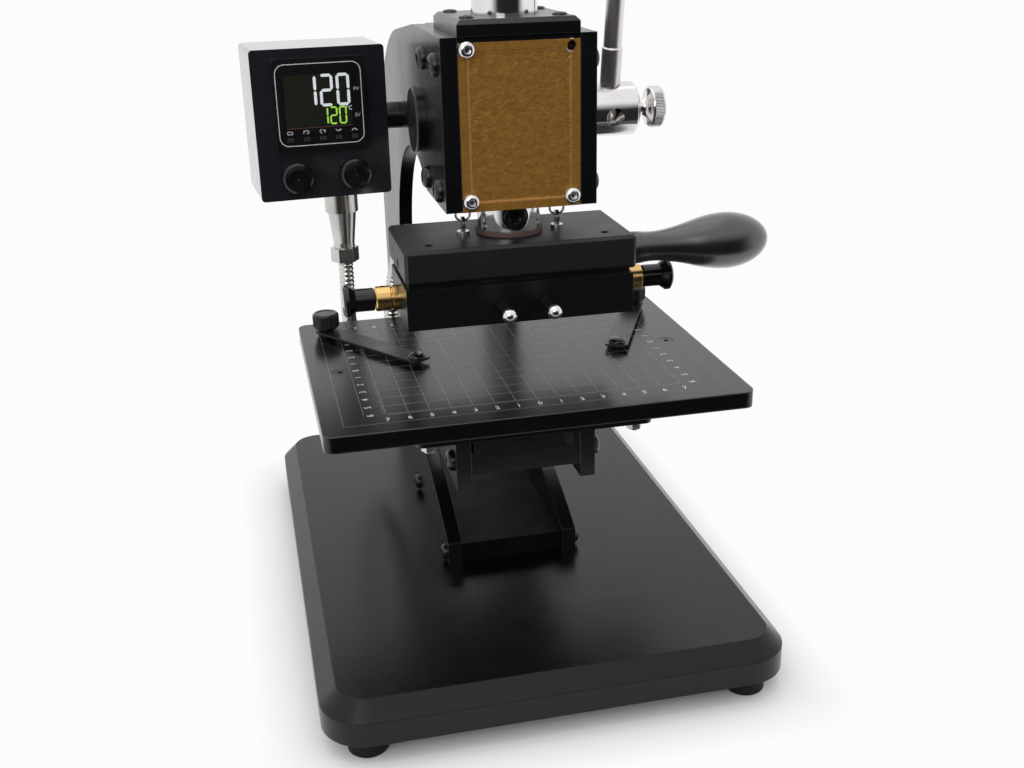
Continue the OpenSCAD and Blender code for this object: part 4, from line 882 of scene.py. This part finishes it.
def thumbscrew():
    """A flared neck under a knurled head, spun about its axis."""
    low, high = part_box("hub_thumbscrew")
    shoulder = Vector((high.x - THUMB_TOP * MM, (low.y + high.y) / 2, (low.z + high.z) / 2))
    tip = (low.x - shoulder.x) / MM
    profile = [(0, tip), (2.5, tip), (3, tip + 0.5), (3, 0), (3.8, 0), (THUMB_NECK, 0.2)]
    for across, along in quarter_turn(12):
        profile.append((THUMB_NECK + 5.2 * (1 - across), 3.2 + 4 * along))
    profile += THUMB_HEAD
    bm = spun([shoulder + Vector((h, 0, r)) * MM for r, h in profile], shoulder, (1, 0, 0), steps=64)
    screw = piece_from("turned_thumbscrew", bm, "chrome", turned_chrome, smooth=40)
    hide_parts("hub_thumbscrew")
    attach(screw, "hub_thumbscrew")
    rim = (Matrix.Translation((high.x - 5.5 * MM, (low.y + high.y) / 2, (low.z + high.z) / 2))
           @ Matrix.Rotation(math.pi / 2, 4, "Y"))
    knurled_rim("thumbscrew_knurl", rim, radius=(high.y - low.y) / 2 + 0.25 * MM, height=4.4 * MM, teeth=84,
                depth=0.28 * MM, slot="chrome", material=turned_chrome, body="hub_thumbscrew")


thumbscrew()


# Screw heads with hexagon sockets, grown ring by ring from the socket's floor to the seat

FACE_OUT = Matrix.Rotation(math.pi / 2, 4, "X")
FACE_BACK = Matrix.Rotation(-math.pi / 2, 4, "X")
# Button heads: radius, height and width of the socket, in millimetres
PLATE_HEAD, CAP_HEAD, COVER_HEAD = (3.95, 2.8, 2.6), (3.4, 1.1, 2.4), (2.7, 1.7, 1.9)
LARGE_CHEEK_HEAD, SMALL_CHEEK_HEAD = (5.4, 3.4, 4.0), (4.25, 2.8, 3.0)


def socket_head(bm, place, rings, steps=36):
    """Each ring is a radius, a height and whether it is a hexagon's, in millimetres."""
    loop = bmesh.ops.create_circle(bm, segments=steps, radius=1, cap_ends=True)["verts"]
    edges = list(dict.fromkeys(e for v in loop for e in v.link_edges))
    head = list(loop)
    for number, (radius, height, hexagonal) in enumerate(rings):
        if number:
            grown = bmesh.ops.extrude_edge_only(bm, edges=edges)["geom"]
            loop = verts_in(grown)
            edges = [g for g in grown if isinstance(g, bmesh.types.BMEdge) and set(g.verts) <= set(loop)]
            head += loop
        for v in loop:
            turn = math.atan2(v.co.y, v.co.x)
            reach = radius / math.cos(turn % (math.pi / 3) - math.pi / 6) if hexagonal else radius
            v.co = Vector((reach * math.cos(turn), reach * math.sin(turn), height)) * MM
    bmesh.ops.edgeloop_fill(bm, edges=edges)
    bmesh.ops.transform(bm, matrix=place, verts=head)


def dome_rings(radius, height, flats, sunk=0.3):
    """A button head: socket, flat rim, dome and a short skirt that goes into its seat."""
    bore, rim = flats / 2, flats / 2 + 0.35
    rings = [(bore, 0.35 * height, True), (bore, height - 0.12, True), (bore + 0.2, height, True)]
    rings.append((rim, height, False))
    for across, along in quarter_turn(8, first=1):
        rings.append((rim + (radius - rim) * along, 0.12 * height + 0.88 * height * across, False))
    return rings + [(radius, -sunk, False)]


def button_heads():
    """Three bright ones on the front plate and four black ones on the cap."""
    bm = bmesh.new()
    plate_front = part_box("nameplate")[0].y
    for x, z in ((-PLATE_SCREW_X, PLATE_SCREW_LOW), (PLATE_SCREW_X, PLATE_SCREW_LOW),
                 (-PLATE_SCREW_X, PLATE_SCREW_HIGH)):
        socket_head(bm, Matrix.Translation((x, plate_front, z)) @ FACE_OUT, dome_rings(*PLATE_HEAD))
    cap_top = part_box("head_cap")[1].z
    for x in (-21, 21):
        for y in (-72, -33):
            socket_head(bm, Matrix.Translation((x * MM, y * MM, cap_top)), dome_rings(*CAP_HEAD))
    for face in bm.faces:
        if face.calc_center_median().z > cap_top - 0.5 * MM:
            face.material_index = 1
    heads = piece_from("button_heads", bm, "chrome", chrome, oxide_black, smooth=40)
    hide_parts("button_screws")
    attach(heads, "frame")


EYELET_SUNK = 0.35 * MM
EYELET_RING = ((2.5, -0.6), (2.5, 0.1), (2.6, 0.28), (2.8, 0.34), (2.98, 0.26), (3.1, 0.05), (3.1, -0.6))


def hole_eyelet():
    """Bright eyelet round the plate's open screw hole."""
    centre = Vector((PLATE_SCREW_X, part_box("nameplate")[0].y + EYELET_SUNK, PLATE_SCREW_HIGH))
    ring = [centre + Vector((r, -h, 0)) * MM for r, h in EYELET_RING]
    bm = spun(ring, centre, (0, 1, 0), steps=40, closed=True)
    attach(piece_from("hole_eyelet", bm, "chrome", chrome, smooth=50), "frame")


RAM_RECESS, RAM_SCREW_RISE = 4.6 * MM, 7 * MM


def ram_screw():
    """Black socket screw in the round recess at the ram's foot."""
    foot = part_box("ram")[0]
    recess_floor = foot.y + RAM_RECESS
    rings = [(2.5, 1.2, True), (2.5, 3.5, True), (2.9, 3.8, False), (5.0, 3.8, False), (5.6, 3.4, False),
             (5.8, 2.8, False), (5.8, -0.3, False)]
    bm = bmesh.new()
    socket_head(bm, Matrix.Translation((0, recess_floor, foot.z + RAM_SCREW_RISE)) @ FACE_OUT, rings)
    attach(piece_from("ram_screw", bm, "black_oxide", oxide_black, smooth=40), "press_head")


# Each bolt's place on the cheek and its head
CHEEK_BOLTS = [(y, z, *LARGE_CHEEK_HEAD) for y in (-70, -37.5) for z in (293.5, 238)]
CHEEK_BOLTS += [(y, 105, *LARGE_CHEEK_HEAD) for y in (-73.5, 10)]
CHEEK_BOLTS += [(y, 35, *SMALL_CHEEK_HEAD) for y in (-38, 52)]
# Each cheek, the corner of its box that is outside, the turn of its heads and the share of their height
CHEEK_SIDES = (("left_cheek", 0, -math.pi / 2, 1.0), ("right_cheek", 1, math.pi / 2, 1.25))


def cheek_heads():
    """Black button heads along the outside of both cheeks, taller on the right one."""
    bm = bmesh.new()
    for cheek, outer, turn, rise in CHEEK_SIDES:
        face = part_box(cheek)[outer].x
        for y, z, radius, height, flats in CHEEK_BOLTS:
            place = Matrix.Translation((face, y * MM, z * MM)) @ Matrix.Rotation(turn, 4, "Y")
            socket_head(bm, place, dome_rings(radius, rise * height, flats))
    heads = piece_from("cheek_heads", bm, "black_oxide", oxide_black, smooth=40)
    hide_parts("cheek_bolts")
    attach(heads, "frame")


def cover_screws():
    """Small screws in the corners of the box's back."""
    bm = bmesh.new()
    for x in (-30, 30):
        for z in (5, 73):
            place = BOX_FRAME @ Matrix.Translation((x * MM, 46 * MM, z * MM)) @ FACE_BACK
            socket_head(bm, place, dome_rings(*COVER_HEAD))
    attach(piece_from("cover_screws", bm, "black_oxide", oxide_black, smooth=40), "frame")


button_heads()
hole_eyelet()
ram_screw()
cheek_heads()
cover_screws()


# Buttons on the tips of the hold-down arms

ARM_AIMS = {"left": math.radians(-55), "right": math.radians(-115)}
TIP_REACH, ARM_HEAD = 69.6 * MM, 1.2 * MM
TIP_DOME = ((0, 2.5), (1.5, 2.42), (2.8, 2.15), (3.7, 1.7), (4.2, 1.1), (4.35, 0.5), (4.35, -0.3),
            (0, -0.3))


def tip_button(side, aim):
    """Domed gloss button over the end of a hold-down arm."""
    low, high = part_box(side + "_hold_knob")
    arm_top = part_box(side + "_hold_arm")[1].z - ARM_HEAD
    centre = Vector(((low.x + high.x) / 2 + TIP_REACH * math.cos(aim),
                     (low.y + high.y) / 2 + TIP_REACH * math.sin(aim), arm_top))
    bm = spun([centre + Vector((r, 0, h)) * MM for r, h in TIP_DOME], centre, (0, 0, 1), steps=40)
    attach(piece_from(side + "_tip_button", bm, "black_oxide", pull_black, smooth=50), side + "_hold_arm")


for side, aim in ARM_AIMS.items():
    tip_button(side, aim)


# Clamp screws: a knurled stem with a polished ball on its end

BALL_RADIUS, STEM_RADIUS, STEM_CHAMFER = 3.5 * MM, 2.4 * MM, 0.5 * MM
BALL_FOOT, KNURL_GAP, KNURL_LAP = 0.8 * MM, 0.6 * MM, 0.6 * MM


def clamp_screw(side):
    low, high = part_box(side + "_clamp_screw")
    knurl_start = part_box("die_chase")[0].y - KNURL_GAP
    axis = Vector(((low.x + high.x) / 2, high.y, (low.z + high.z) / 2))
    length = high.y - low.y
    neck = math.acos(STEM_RADIUS / BALL_RADIUS)
    profile = [(0, 0), (STEM_RADIUS - STEM_CHAMFER, 0), (STEM_RADIUS, STEM_CHAMFER)]
    for k in range(25):
        turn = -neck + (math.pi / 2 + neck) * k / 24
        profile.append((BALL_RADIUS * math.cos(turn), length - BALL_RADIUS * (1 - math.sin(turn))))
    bm = spun([(r, 0, h) for r, h in profile], (0, 0, 0), (0, 0, 1), steps=48)
    for face in bm.faces:
        if face.calc_center_median().z > length - 2 * BALL_RADIUS + BALL_FOOT:
            face.material_index = 1
    bmesh.ops.transform(bm, matrix=Matrix.Translation(axis) @ FACE_OUT, verts=bm.verts)
    screw = piece_from(side + "_ball_screw", bm, "black_oxide", oxide_black, chrome, smooth=50)
    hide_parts(side + "_clamp_screw")
    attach(screw, side + "_clamp_screw")
    stem = Matrix.Translation((axis.x, knurl_start, axis.z)) @ FACE_OUT
    sleeve = knurl_start - (low.y + 2 * BALL_RADIUS - KNURL_LAP)
    knurled_rim(side + "_clamp_knurl", stem, radius=STEM_RADIUS + 0.25 * MM, height=sleeve, teeth=22,
                depth=0.22 * MM, slot="black_oxide", material=dark_steel, body=side + "_clamp_screw")


for side in SIDES:
    clamp_screw(side)


# Floor, light and sky

FLOOR_FRONT, FLOOR_REACH = -0.26, 4.0
SHADOW_NEAR, SHADOW_FAR = 0.003, 0.03
DARK_SIDE = 0.02


def white_away(material, corner):
    """Plain white where the sheet is seen or mirrored away from the object's foot."""
    tree = material.node_tree
    outside = place_on(material)
    for operation, other in (("ABSOLUTE", None), ("SUBTRACT", (corner.x, corner.y, 0)),
                             ("MAXIMUM", (0, 0, 0))):
        step = tree.nodes.new("ShaderNodeVectorMath")
        step.operation = operation
        join(material, outside, step.inputs[0])
        if other:
            step.inputs[1].default_value = other
        outside = step.outputs["Vector"]
    away = tree.nodes.new("ShaderNodeVectorMath")
    away.operation = "LENGTH"
    join(material, outside, away.inputs[0])
    amount = spread(material, away.outputs["Value"], 0, 1, SHADOW_NEAR, SHADOW_FAR)
    rays = tree.nodes.new("ShaderNodeLightPath").outputs
    seen = rays["Is Camera Ray"]
    for other in ("Is Glossy Ray", "Is Transmission Ray"):
        seen = combine(tree, "MAXIMUM", seen, rays[other])
    white = tree.nodes.new("ShaderNodeEmission")
    white.inputs["Color"].default_value = (0.985, 0.97, 0.975, 1)
    mixed = tree.nodes.new("ShaderNodeMixShader")
    join(material, combine(tree, "MULTIPLY", amount, seen), mixed.inputs["Fac"])
    join(material, shader_of(material).outputs["BSDF"], mixed.inputs[1])
    join(material, white.outputs["Emission"], mixed.inputs[2])
    join(material, mixed.outputs["Shader"], tree.nodes["Material Output"].inputs["Surface"])


def pale_floor():
    """A white sheet that ends in front of the object, and shows its shadow only close to it."""
    bm = bmesh.new()
    bmesh.ops.create_grid(bm, x_segments=8, y_segments=8, size=FLOOR_REACH,
                          matrix=Matrix.Translation((0, FLOOR_FRONT + FLOOR_REACH, 0)))
    mesh = bpy.data.meshes.new("pale_floor")
    bm.to_mesh(mesh)
    bm.free()
    material = finish("pale_floor", (0.9, 0.89, 0.895), 0.6)
    toned(material, cloud(material, 3), (0.895, 0.885, 0.89), (0.905, 0.897, 0.902))
    white_away(material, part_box("base_plate")[1])
    mesh.materials.append(material)
    floor = bpy.data.objects.new("pale_floor", mesh)
    bpy.context.scene.collection.objects.link(floor)


def softbox(name, place, aim, size, power):
    lamp = bpy.data.lights.new(name, "AREA")
    lamp.shape = "SQUARE"
    lamp.size = size
    lamp.energy = power
    holder = bpy.data.objects.new(name, lamp)
    holder.location = place
    holder.rotation_euler = (Vector(aim) - Vector(place)).to_track_quat("-Z", "Y").to_euler()
    bpy.context.scene.collection.objects.link(holder)


def studio_sky():
    """White behind, above and beside the object, dark low down in front of it; white where it is seen."""
    world = bpy.data.worlds.new("studio_sky")
    bpy.context.scene.world = world
    world.use_nodes = True
    tree = world.node_tree
    sky = tree.nodes["Background"]
    sky.inputs["Color"].default_value = (0.985, 0.975, 0.98, 1)
    direction = tree.nodes.new("ShaderNodeTexCoord")
    split = tree.nodes.new("ShaderNodeSeparateXYZ")
    tree.links.new(direction.outputs["Generated"], split.inputs["Vector"])
    aside = tree.nodes.new("ShaderNodeMath")
    aside.operation = "ABSOLUTE"
    tree.links.new(split.outputs["X"], aside.inputs[0])
    strength = tree.nodes.new("ShaderNodeLightPath").outputs["Is Camera Ray"]
    for value, start, end in ((split.outputs["Y"], -0.15, 0.1), (split.outputs["Z"], 0.05, 0.6),
                              (aside.outputs["Value"], 0.55, 0.92)):
        ramp = tree.nodes.new("ShaderNodeMapRange")
        ramp.interpolation_type = "SMOOTHSTEP"
        set_range(ramp, start, end, DARK_SIDE, 1.0)
        tree.links.new(value, ramp.inputs["Value"])
        strength = combine(tree, "MAXIMUM", strength, ramp.outputs["Result"])
    tree.links.new(strength, sky.inputs["Strength"])


pale_floor()
studio_sky()
softbox("overhead_softbox", (-0.25, 0.1, 1.35), aim=(0, 0, 0.1), size=1.3, power=2.5)
softbox("front_softbox", (-0.55, -1.15, 0.75), aim=(0, 0, 0.2), size=0.7, power=4)
bpy.context.scene.view_settings.view_transform = "Standard"
